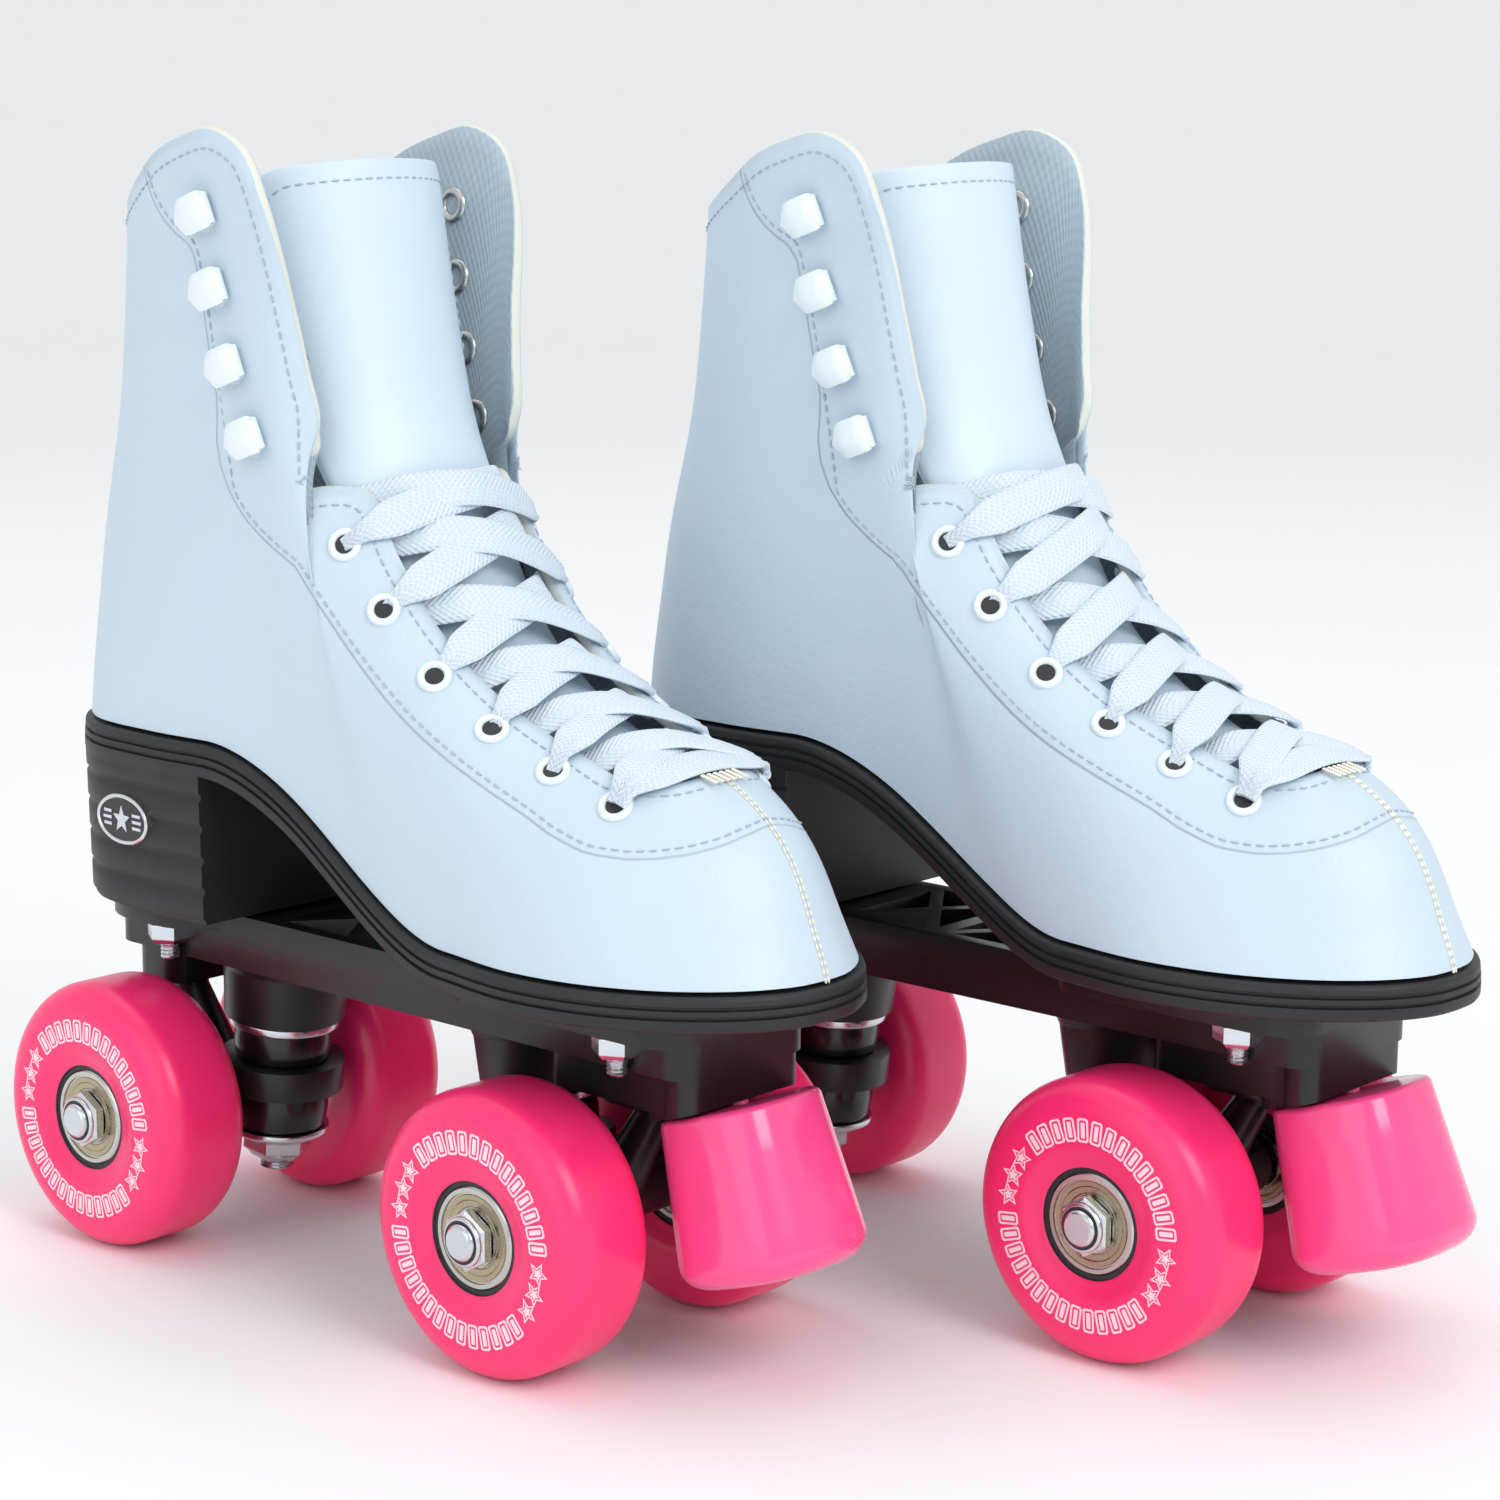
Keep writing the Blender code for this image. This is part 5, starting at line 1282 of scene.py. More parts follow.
@dataclass
class Lacing:
    """Flat lace: each strand leaves an eyelet, crosses, and dives under the opposite facing."""
    last: Last
    width: float = 8.6
    pinch: float = 3.4
    thickness: float = 1.25
    steps: int = 40
    over: float = 1.5              # how far the upper strands ride over the lower ones
    around: int = 14

    def ribbon(self, samples: list[tuple]) -> Shape:
        """Lace along a path of (point, surface normal, width)."""
        centres = np.array([s[0] for s in samples])
        along = lengths(centres)
        heading = np.gradient(centres, axis=0)
        rings, uv = [], []
        for (centre, normal, width), forward, run in zip(samples, heading, along):
            forward = forward / np.linalg.norm(forward)
            across = np.cross(normal, forward)
            across /= np.linalg.norm(across)
            normal = np.cross(forward, across)
            thick = self.thickness * math.sqrt(self.width / width)
            gather = 0.35 * (1.0 - width / self.width)
            for k in range(self.around):
                angle = 2 * math.pi * k / self.around
                c, s = math.cos(angle), math.sin(angle)
                a = math.copysign(abs(c)**0.75, c)
                b = math.copysign(abs(s)**0.6, s)
                ripple = gather * math.cos(3.0 * math.pi * a) * (1 if b > 0 else -1) * abs(b)
                rings.append(centre + across * a * width / 2 + normal * (b * thick / 2 + ripple))
                uv.append((run * MM, a * self.width / 2 * MM))
        count = self.around
        shape = loft([rings[k:k + count] for k in range(0, len(rings), count)])
        shape.uv = uv
        return shape

    def strand(self, side: int, index: int, above: bool) -> Shape:
        """One crossing that starts at an eyelet on a side (+1 or -1)."""
        last = self.last
        top = index == last.eyelets - 1
        start = last.eyelet_along(index)
        end = start + (0.46 if top else 1.0) * last.pitch
        from_x = last.eyelet_half(start)
        to_x = last.eyelet_half(end) - (1.0 if top else 2.5)
        samples = []
        for k in range(self.steps + 1):
            u = k / self.steps
            ease = u + 0.04 * math.sin(2 * math.pi * u)
            along = start + (end - start) * ease
            x = side * (from_x - (from_x + to_x) * ease)
            edge = last.eyelet_half(along) - last.eyelet_to_edge
            span = x * side
            # rises out of the eyelet, runs level over its own facing,
            # sags across the tongue and dives at the far edge
            lift = -0.6 + 2.2 * smooth_step((from_x - span) / 3.0)
            lift -= 1.5 * smooth_step((edge + 1.0 - span) / (edge + 4.0))
            lift -= 3.1 * smooth_step((-span - edge + 9.0) / 9.0)
            if above:
                lift += self.over * math.exp(-(span / 8.5)**2)
            width = self.pinch + (self.width - self.pinch) * smooth_step((from_x - span - 0.8) / 8.0)
            point, normal = last.on_instep(along, x, last.roundness(along), lift)
            samples.append((point, normal, width))
        return self.ribbon(samples)

    def bar(self) -> Shape:
        """Straight run between the two lowest eyelets."""
        last = self.last
        along = last.eyelet_along(0)
        half = last.eyelet_half(along)
        samples = []
        for k in range(self.steps + 1):
            x = half * (1 - 2 * k / self.steps)
            into = (half - abs(x))
            lift = -0.6 + 2.1 * smooth_step(into / 3.0) - 0.7 * smooth_step((into - 5.0) / 8.0)
            width = self.pinch + (self.width - self.pinch) * smooth_step((into - 0.8) / 8.0)
            point, normal = last.on_instep(along - 1.2, x, last.roundness(along), lift)
            samples.append((point, normal, width))
        return self.ribbon(samples)

    def pieces(self) -> list[Piece]:
        """The whole lace as one piece."""
        shape = self.bar()
        for index in range(self.last.eyelets):
            shape = shape.joined(self.strand(-1, index, False)).joined(self.strand(1, index, True))
        mesh = shape.mesh("lacing", [Surface.LACE.material], sharp=70.0)
        return [Piece("lacing", mesh, "chassis", "white_lace", ("lace",))]


# ---- Sole ----

@dataclass
class Sole:
    """Rubber sole with its grooved edge, ribbed heel block and badge, and the insole above it."""
    last: Last
    heel_front: float = 31.0
    ribs: int = 5
    rib_step: float = 0.7
    insole_thickness: float = 3.0
    badge_at: tuple[float, float] = (57.0, 101.0)
    badge_half: tuple[float, float] = (9.6, 5.8)

    def slab(self, half: int, levels: list) -> Shape:
        """Slab in the sole's shape; levels is a list of (inset, height function)."""
        rings = [[(x, y, height(y)) for x, y in self.last.loop(half, inset)] for inset, height in levels]
        count = len(rings[0])
        shape = loft(rings, capped=False)
        for base in (0, (len(rings) - 1) * count):
            shape.faces += cap_faces(base, half, count)
        return shape

    def heel_block(self) -> Shape:
        """Tapered block of stacked ribs under the heel."""
        last = self.last
        low, top = last.plate_top + GAP, last.heel_top - 0.7 * last.sole
        inner = [p for p in last.outline(True, 241) if p[1] > self.heel_front][::2]
        outer = [p for p in last.outline(False, 241) if p[1] > self.heel_front][::2]
        ring = [(inner[0][0], self.heel_front)] + inner[1:] + outer[::-1][1:-1] + [(outer[0][0], self.heel_front)]
        rings = []
        rib = (top - low) / self.ribs
        for k in range(self.ribs):
            taper = 0.2 * (self.ribs - k)
            for share, inset in ((0.0, self.rib_step + taper), (0.10, self.rib_step + taper), (0.20, taper - 0.02),
                                 (0.55, taper - 0.06), (0.88, taper - 0.1), (0.98, self.rib_step + taper - 0.2)):
                z = low + rib * (k + share)
                flat = []
                for x, y in ring:
                    centre = np.array([0.0, min(y, last.heel - 36.0)])
                    away = np.array([x, y]) - centre
                    place = centre + away * (1.0 - inset / max(float(np.linalg.norm(away)), 1.0))
                    flat.append((place[0], place[1], z))
                rings.append(flat)
        rings.append([(x, y, top) for x, y, _ in rings[-1]])
        return loft(rings)

    def outsole(self) -> bpy.types.Mesh:
        """Sole and heel block as one rubber body."""
        t, top = self.last.sole, self.last.sole_top
        steps = ((1.00, 1.2), (0.96, 0.35), (0.90, 0.0), (0.66, 0.0), (0.63, 0.75), (0.58, 0.75), (0.55, 0.05),
                 (0.42, 0.1), (0.39, 0.8), (0.34, 0.8), (0.31, 0.2), (0.18, 0.3), (0.12, 0.5), (0.08, 1.0))
        levels = [(inset, lambda y, d=depth: top(y) - d * t) for depth, inset in steps]
        return carve("outsole", self.slab(100, levels), [(self.heel_block(), "UNION")], Surface.RUBBER.material, 0.0)

    def insole(self) -> bpy.types.Mesh:
        """Cloth-covered foam insole with rounded edges."""
        base = 3.0 + 6 * GAP
        thick, top = self.insole_thickness, self.last.sole_top
        levels = [(inset, lambda y, h=height: top(y) + base + h) for inset, height in
                  ((9.0, 0.0), (8.3, 0.25), (8.2, 0.6 * thick), (8.6, 0.88 * thick), (10.5, thick),
                   (14.0, 0.9 * thick))]
        shape = self.slab(60, levels)
        shape.uv = [(p[0] * MM, p[1] * MM) for p in shape.points]
        return shape.mesh("insole", [Surface.INSOLE.material], sharp=60.0)

    def badge(self) -> tuple[bpy.types.Mesh, bpy.types.Mesh]:
        """Oval badge on the outer side of the heel: bright rim, star and bars on a dark ground."""
        y, z = self.badge_at
        line = self.last.outline(False, 401)
        index = int(np.argmin(np.abs(line[200:, 1] - y))) + 200
        tangent = line[index + 4] - line[index - 4]
        tangent /= np.linalg.norm(tangent)
        out = Vector((-abs(tangent[1]), tangent[0] if tangent[1] > 0 else -tangent[0], 0.0)).normalized()
        across = Vector((0, 0, 1)).cross(out).normalized()
        frame = Matrix((across, Vector((0, 0, 1)), out)).transposed()
        at = Vector((line[index][0], line[index][1], z)) + out * 0.05

        def put(points: list) -> list:
            """Points of the badge's own plane, stood on the heel."""
            return [at + frame @ Vector(p) for p in points]

        def oval(scale: float, depth: float) -> list:
            """Ring of the oval, scaled by a few millimetres."""
            a, b = self.badge_half[0] + scale, self.badge_half[1] + scale
            return put([(a * math.cos(2 * math.pi * k / 56), b * math.sin(2 * math.pi * k / 56), depth)
                        for k in range(56)])

        def flat(outline: list, low: float, high: float) -> Shape:
            """Raised flat figure."""
            return loft([put([(u, v, low) for u, v in outline]), put([(u * 0.98, v * 0.98, high) for u, v in outline])])

        rim = loft([oval(0.0, -1.2), oval(0.0, 0.35), oval(-0.25, 0.65), oval(-0.7, 0.65), oval(-0.95, 0.4),
                    oval(-1.0, -0.6)])
        star = [((3.4 if k % 2 == 0 else 1.45) * math.sin(math.pi * k / 5),
                 (3.4 if k % 2 == 0 else 1.45) * math.cos(math.pi * k / 5)) for k in range(10)]
        bright = rim.joined(flat(star, 0.1, 0.6))
        for side in (-1, 1):
            for v, reach in ((1.5, 2.9), (0.0, 3.2), (-1.5, 2.9)):
                x0, x1 = sorted((side * 4.0, side * (4.0 + reach)))
                bright = bright.joined(flat([(x0, v - 0.36), (x1, v - 0.36), (x1, v + 0.36), (x0, v + 0.36)], 0.1, 0.5))
        ground = loft([oval(-0.9, -1.0), oval(-0.9, 0.22), oval(-2.4, 0.30)])
        return (bright.mesh("badge", [Surface.BADGE.material], 30.0),
                ground.mesh("badge_ground", [Surface.BADGE_PAINT.material]))

    def pieces(self) -> list[Piece]:
        """Everything the sole is made of."""
        badge, ground = self.badge()
        return [Piece("rubber_sole", self.outsole(), "chassis", "black_rubber", ("outsole",)),
                Piece("insole", self.insole(), "chassis", "insole_fabric", ("footbed",), 0.3),
                Piece("heel_badge", badge, "chassis", "bright_steel"),
                Piece("heel_badge_ground", ground, "chassis", "black_rubber")]


# ---- Plate and trucks ----

@dataclass
class Gear:
    """Sizes that the plate, the trucks and the wheels share, in millimetres."""
    wheel_radius: float
    wheelbase: float
    track: float
    plate_top: float
    wheel_width: float = 25.0
    axle_radius: float = 4.0
    tube_wall: float = 2.4
    kingpin_tilt: float = 6.0
    kingpin_radius: float = 4.6
    ring_rise: float = 7.0
    ring_radius: float = 14.6
    ring_thickness: float = 7.0
    ring_play: float = 2.4
    cushion_radius: float = 11.4
    cushion_clearance: float = 1.4
    upper_cushion: float = 7.5
    lower_cushion: float = 9.0
    washer_overhang: float = 1.5
    washer_thickness: float = 2.0
    pivot_outset: float = 13.0
    pivot_rise: float = 23.0
    pivot_radius: float = 4.2

    @property
    def washer_top(self) -> float:
        """Top of the upper washer, up the kingpin from the middle of the ring."""
        return self.ring_thickness / 2 + GAP + self.upper_cushion + GAP + self.washer_thickness

    def axle_y(self, end: int) -> float:
        """Place of an axle: -1 front, +1 rear."""
        return end * self.wheelbase / 2

    def kingpin(self, end: int) -> tuple[Vector, Vector]:
        """Centre of the ring and the direction up the kingpin."""
        tilt = math.radians(self.kingpin_tilt)
        inset = self.axle_radius + self.tube_wall + self.cushion_radius + self.cushion_clearance
        centre = Vector((0.0, end * (self.wheelbase / 2 - inset), self.wheel_radius + self.ring_rise))
        return centre, Vector((0.0, -end * math.sin(tilt), math.cos(tilt)))

    def pivot(self, end: int) -> Vector:
        """Centre of the pivot's ball."""
        return Vector((0.0, end * (self.wheelbase / 2 + self.pivot_outset), self.wheel_radius + self.pivot_rise))


@dataclass
class Plate:
    """Moulded plate with bosses, pivot housings, the stopper's block and the bolts to the boot."""
    gear: Gear
    last: Last
    tool: NodeTool
    flange_half: float = 27.0
    flange: float = 5.0
    beam_half: float = 20.0
    beam: float = 13.0
    behind: float = 20.35
    before: float = 40.35
    boss: float = 14.0
    block_depth: float = 22.0
    block_clearance: float = 2.65
    stop_tilt: float = 18.0
    stop_from_front: float = 4.0
    stop_below: float = 21.5
    segments: int = 48
    bolts: tuple = ((22.0, 57.0), (-22.0, 57.0), (22.0, -86.0), (-22.0, -86.0))

    def stop_frame(self) -> tuple[Vector, Vector]:
        """Middle of the stopper's top and the direction down its axis."""
        tilt = math.radians(self.stop_tilt)
        front = -self.gear.wheelbase / 2 - self.before
        place = Vector((0.0, front + self.stop_from_front, self.gear.plate_top - self.stop_below))
        return place, Vector((0.0, -math.sin(tilt), -math.cos(tilt)))

    def body(self) -> bpy.types.Mesh:
        """The moulded plate."""
        gear, top = self.gear, self.gear.plate_top
        rear = gear.wheelbase / 2 + self.behind
        front = -gear.wheelbase / 2 - self.before
        arch_start, heel_front = self.last.arch[0], self.last.arch[1]
        half = self.flange_half
        steps = [(prism(rounded_rectangle(-half, half, front, arch_start + 12, 9.0), top - self.flange, top), "UNION"),
                 (prism(rounded_rectangle(-self.beam_half, self.beam_half, front + 1.5, rear - 4, 6.0),
                        top - self.beam, top - 0.4), "UNION")]
        cuts = []
        for end in (-1, 1):
            centre, up = gear.kingpin(end)
            low = centre + up * (gear.washer_top + GAP)
            high = centre + up * (top - centre.z - 4.0)
            skirt = centre + up * (top - centre.z - self.beam - 3.0)
            steps.append((rod(low, high, self.boss, self.segments, self.boss + 1.5), "UNION"))
            steps.append((rod(skirt, high, self.boss + 0.9, self.segments, self.boss + 5.0), "UNION"))
            pivot = gear.pivot(end)
            steps.append((prism(rounded_rectangle(-11.0, 11.0, pivot.y - 8.0, pivot.y + 8.0, 5.0), pivot.z + 1.5,
                                top - 1.5), "UNION"))
            cuts.append((rod(pivot - Vector((0, 0, 6)), pivot + Vector((0, end * 2.0, 10.0)),
                             gear.pivot_radius + 1.2, 28), "DIFFERENCE"))
        wide = gear.track / 2 - gear.wheel_width / 2 - self.block_clearance
        stop, down = self.stop_frame()
        steps.append((prism(rounded_rectangle(-wide, wide, front + 1.8, -gear.wheelbase / 2 + 5.0, 4.0),
                            top - self.block_depth, top - 2.0), "UNION"))
        steps.append((prism(rounded_rectangle(-wide, wide, front + 1.8, front + 17.5, 4.0), stop.z - 8.0, top - 2.5),
                      "UNION"))
        steps.append((prism(rounded_rectangle(-17.6, 17.6, front + 1.8, front + 11.0, 4.0), stop.z - 8.0, top - 2.5),
                      "UNION"))
        face = stop - down * 2 * GAP
        cuts.append((rod(face, face + down * 40.0, 60.0, 4), "DIFFERENCE"))
        cuts.append((rod(stop + down * 8.0, stop - down * 11.0, 2.3, 28), "DIFFERENCE"))
        cells = np.linspace(arch_start + 20.0, heel_front - 4.0, 3)
        inside = self.beam_half - 2.6
        for y0, y1 in zip(cells[:-1], cells[1:]):
            middle = (0.0, 0.5 * (y0 + y1))
            ring = [(-inside, y0 + 1.3), (inside, y0 + 1.3), (inside, y1 - 1.3), (-inside, y1 - 1.3)]
            for k in range(4):
                a, b = ring[k], ring[(k + 1) % 4]
                centre = ((a[0] + b[0] + middle[0]) / 3, (a[1] + b[1] + middle[1]) / 3)
                shape = [(p[0] + (centre[0] - p[0]) * 0.22, p[1] + (centre[1] - p[1]) * 0.22) for p in (a, b, middle)]
                cuts.append((prism(shape, top - 7.0, top + 3.0), "DIFFERENCE"))
        base = prism(rounded_rectangle(-half, half, heel_front + 6, rear, 20.0), top - self.flange, top)
        return carve("plate", base, steps + cuts, Surface.NYLON.material, 0.7)

    def fasteners(self) -> list[Piece]:
        """Hexagon nuts and bolt ends under the plate."""
        bottom = self.gear.plate_top - self.flange
        places = [((x, y, bottom), (0, 0, -1), (1, 0, 0)) for x, y in self.bolts]
        nut = turned(fillet([(0.0, 2.4), (0.0, 5.4), (3.4, 5.4), (4.6, 4.3), (5.0, 2.9), (5.0, 2.4)], 0.25, 3), 6,
                     Vector((0, 0, 1)))
        thread = []
        for k in range(9):
            thread += [(0.4 + k * 0.9, 2.05), (0.85 + k * 0.9, 2.35)]
        bolt = turned([(0.0, 0.01), (0.0, 2.0)] + thread + [(8.6, 1.8), (8.6, 0.01)], 20, Vector((0, 0, 1)))
        nuts = self.tool.fit("plate_nuts", nut, Surface.ZINC, places)
        bolts = self.tool.fit("plate_bolts", bolt, Surface.ZINC, places)
        return [Piece("plate_nuts", nuts, "chassis", "bright_steel"),
                Piece("plate_bolts", bolts, "chassis", "bright_steel")]

    def stopper(self) -> bpy.types.Mesh:
        """Tapered toe stop with a rounded foot."""
        top, down = self.stop_frame()
        turn = Matrix((Vector((1, 0, 0)), down.cross(Vector((1, 0, 0))), down)).transposed()

        def ring(depth: float, half: float, power: float) -> list:
            """Squared-off circle at a depth."""
            points = []
            for k in range(72):
                angle = 2 * math.pi * k / 72
                c, s = math.cos(angle), math.sin(angle)
                reach = half / (abs(c)**power + abs(s)**power)**(1 / power)
                points.append(top + turn @ Vector((reach * c, reach * s, depth)))
            return points

        rings = [ring(-9.0, 1.9, 2), ring(0.0, 1.9, 2), ring(0.0, 13.9, 2.8), ring(0.15, 14.7, 2.8),
                 ring(0.6, 15.2, 2.8), ring(1.4, 15.5, 2.8)]
        rounding, length, foot = 5.5, 36.0, 18.0
        rings += [ring(1.4 + (length - rounding - 1.4) * u, 15.5 + (foot - 15.5) * u, 2.8)
                  for u in (0.3, 0.6, 0.85, 1.0)]
        for k in range(1, 9):
            angle = math.radians(90 * k / 8)
            rings.append(ring(length - rounding + rounding * math.sin(angle),
                              foot - rounding * (1 - math.cos(angle)), 2.8))
        rings.append(ring(length + 0.1, foot - rounding - 5.0, 2.6))
        return loft(rings).mesh("toe_stop", [Surface.PINK_STOP.material], 40.0)

    def pieces(self) -> list[Piece]:
        """Plate, its fasteners and the toe stop."""
        return [Piece("moulded_plate", self.body(), "chassis", "black_nylon", ("plate",)),
                Piece("toe_stopper", self.stopper(), "chassis", "pink_stopper", ("toe_stop",))] + self.fasteners()


@dataclass
class Truck:
    """Steering truck at one end: hanger, kingpin stack, cushions, axle and lock nuts."""
    gear: Gear
    end: int
    segments: int = 56
    steer_limit: float = 7.0       # degrees each way

    @property
    def place(self) -> str:
        """Name of this end."""
        return "front" if self.end < 0 else "rear"

    def hanger(self) -> bpy.types.Mesh:
        """Ring, axle tube and pivot arm in one moulding."""
        gear, end = self.gear, self.end
        centre, up = gear.kingpin(end)
        half = gear.ring_thickness / 2
        bore = gear.kingpin_radius + gear.ring_play
        ring = rod(centre - up * half, centre + up * half, gear.ring_radius, self.segments)
        hole = rod(centre - up * (half + 2), centre + up * (half + 2), bore, 40)
        reach = gear.track / 2 - gear.wheel_width / 2 - 1.0
        y, z = gear.axle_y(end), gear.wheel_radius
        radius = gear.axle_radius + gear.tube_wall
        tube = rod((-reach, y, z), (reach, y, z), radius, 40)
        drill = rod((-reach - 2, y, z), (reach + 2, y, z), gear.axle_radius + 2 * GAP, 32)
        web = []
        height = centre.z
        for place, wide, low, high in ((centre.y + end * (bore + 1.2), 9.0, height - 2.6, height + 2.6),
                                       (centre.y + end * (gear.ring_radius - 0.4), 9.5, height - 2.0, height + 2.6),
                                       (y, 11.0, z - 5.0, z + 5.5)):
            web.append([(x, place, h) for x, h in ((-wide, low), (wide, low), (wide, high), (-wide, high))])
        pivot = gear.pivot(end)
        arm = rod(Vector((0, y, z)), pivot - Vector((0, 0, 1.0)), 6.0, 32, gear.pivot_radius - 0.4)
        pin = rod(pivot - Vector((0, 0, 2.0)), pivot + Vector((0, end * 1.0, 5.5)), gear.pivot_radius, 32)
        return carve(f"{self.place}_hanger_casting", ring, [(loft(web), "UNION"), (tube, "UNION"), (arm, "UNION"),
                     (pin, "UNION"), (hole, "DIFFERENCE"), (drill, "DIFFERENCE")], Surface.NYLON.material, 0.55)

    def stack(self) -> bpy.types.Mesh:
        """Kingpin with its upper washer, lower cup, hexagon nut and threaded end."""
        gear = self.gear
        centre, up = gear.kingpin(self.end)
        top, pin = gear.washer_top, gear.kingpin_radius
        washer = gear.cushion_radius + gear.washer_overhang
        cup_high = -(gear.ring_thickness / 2 + GAP + gear.lower_cushion + GAP)
        cup_low, nut_low = cup_high - 3.0, cup_high - 8.5
        under, round_cushion = top - gear.washer_thickness, gear.cushion_radius
        profile = [(top, 0.01), (top, washer), (under, washer), (under, pin),
                   (cup_high + 0.1, pin), (cup_high + 0.1, round_cushion + 0.45),
                   (cup_high - 1.2, round_cushion + 0.5), (cup_low, round_cushion - 2.4),
                   (cup_low, pin - 0.4), (nut_low - 0.3, pin - 0.4)]
        thread = []
        for k in range(3):
            thread += [(nut_low - 0.5 - k * 0.7, pin - 0.75), (nut_low - 0.8 - k * 0.7, pin - 0.45)]
        shape = turned(fillet(profile, 0.45, 4) + thread + [(nut_low - 2.6, pin - 1.0), (nut_low - 2.6, 0.01)],
                       self.segments, up, centre)
        hexagon = [(cup_low + 0.2, pin - 0.2), (cup_low + 0.2, pin + 3.4), (cup_low - 3.4, pin + 3.4),
                   (nut_low + 1.3, pin + 2.2), (nut_low, pin + 1.2), (nut_low, pin - 0.2)]
        nut = turned(fillet(hexagon, 0.35, 3), 6, up, centre)
        return shape.joined(nut).mesh(f"{self.place}_kingpin_stack", [Surface.ZINC.material], 38.0)

    def cushion_span(self, upper: bool) -> tuple[float, float]:
        """Lowest and highest end of a cushion, up the kingpin from the middle of the ring."""
        start = self.gear.ring_thickness / 2 + GAP
        if upper:
            return start, start + self.gear.upper_cushion
        return -start - self.gear.lower_cushion, -start

    def squeeze(self, upper: bool) -> tuple[str, Vector, Vector, float]:
        """How the tilting ring presses a cushion: joint, fixed end, direction and the share that is left."""
        centre, up = self.gear.kingpin(self.end)
        low, high = self.cushion_span(upper)
        pressed = self.gear.cushion_radius * math.sin(math.radians(self.steer_limit)) + 0.1
        return f"{self.place}_steer", centre + up * (high if upper else low), up, 1.0 - pressed / (high - low)

    def cushion(self, upper: bool) -> bpy.types.Mesh:
        """One barrel-shaped cushion."""
        gear = self.gear
        centre, up = gear.kingpin(self.end)
        low, high = self.cushion_span(upper)
        bore, radius = gear.kingpin_radius + 0.6, gear.cushion_radius
        side = [(high - (high - low) * u, radius - 0.55 + 0.55 * math.sin(math.pi * u))
                for u in np.linspace(0.0, 1.0, 9)]
        shape = turned(fillet([(low, bore), (high, bore)] + side, 0.6, 3), self.segments, up, centre)
        return shape.mesh(f"{self.place}_cushion", [Surface.CUSHION.material], 40.0)

    def pieces(self) -> list[Piece]:
        """Everything on this truck."""
        gear, place = self.gear, self.place
        centre_y = gear.axle_y(self.end)
        tip = gear.track / 2 + gear.wheel_width / 2 - 1.6 + GAP + 3.4 + 1.0
        at = Vector((0.0, centre_y, gear.wheel_radius))
        radius = gear.axle_radius
        end_thread = []
        for k in range(6):
            end_thread += [(tip - 4.6 + k * 0.7, radius - 0.3), (tip - 4.25 + k * 0.7, radius)]
        half_profile = end_thread + [(tip - 0.5, radius - 0.1), (tip, radius - 0.7), (tip, 0.01)]
        profile = [(-a, r) for a, r in half_profile[::-1]] + half_profile
        axle = turned(profile, 36, Vector((1, 0, 0)), at).mesh(f"{place}_axle_rod", [Surface.ZINC.material], 38.0)
        made = [Piece(f"{place}_truck_hanger", self.hanger(), f"{place}_truck", "black_nylon", (f"{place}_hanger",)),
                Piece(f"{place}_kingpin_stack", self.stack(), "chassis", "bright_steel", (f"{place}_kingpin",)),
                Piece(f"{place}_axle_rod", axle, f"{place}_truck", "bright_steel", (f"{place}_axle",))]
        for upper, name in ((True, "upper"), (False, "lower")):
            made.append(Piece(f"{place}_{name}_cushion", self.cushion(upper), "chassis", "black_cushion",
                              (f"{place}_cushion_{name}",), squeeze=self.squeeze(upper)))
        for side, edge in ((-1, "outer"), (1, "inner")):
            middle = Vector((side * gear.track / 2, centre_y, gear.wheel_radius))
            face = gear.wheel_width / 2 - 1.6 + GAP
            hexagon = [(face, radius + GAP), (face, 6.45), (face + 0.3, 6.6), (face + 2.0, 6.6), (face + 2.5, 5.9),
                       (face + 2.5, radius + GAP)]
            collar = fillet([(face + 2.3, radius + 0.1), (face + 2.3, 5.5), (face + 3.4, 5.3),
                             (face + 3.4, radius + 0.1)], 0.5, 4)
            out = Vector((float(side), 0, 0))
            shape = turned(hexagon, 6, out, middle).joined(turned(collar, 40, out, middle))
            insert = turned([(face + 3.0, radius + 0.05), (face + 3.0, 4.75), (face + 3.45, 4.7),
                             (face + 3.45, radius + 0.05)], 32, out, middle)
            shape.slots = [0] * len(shape.faces)
            insert.slots = [1] * len(insert.faces)
            name = f"{place}_{edge}_lock_nut"
            mesh = shape.joined(insert).mesh(name, [Surface.ZINC.material, Surface.INSERT.material])
            made.append(Piece(name, mesh, f"{place}_truck", "bright_steel", (f"{place}_{edge}_axle_nut",)))
        return made


# ---- Wheels ----

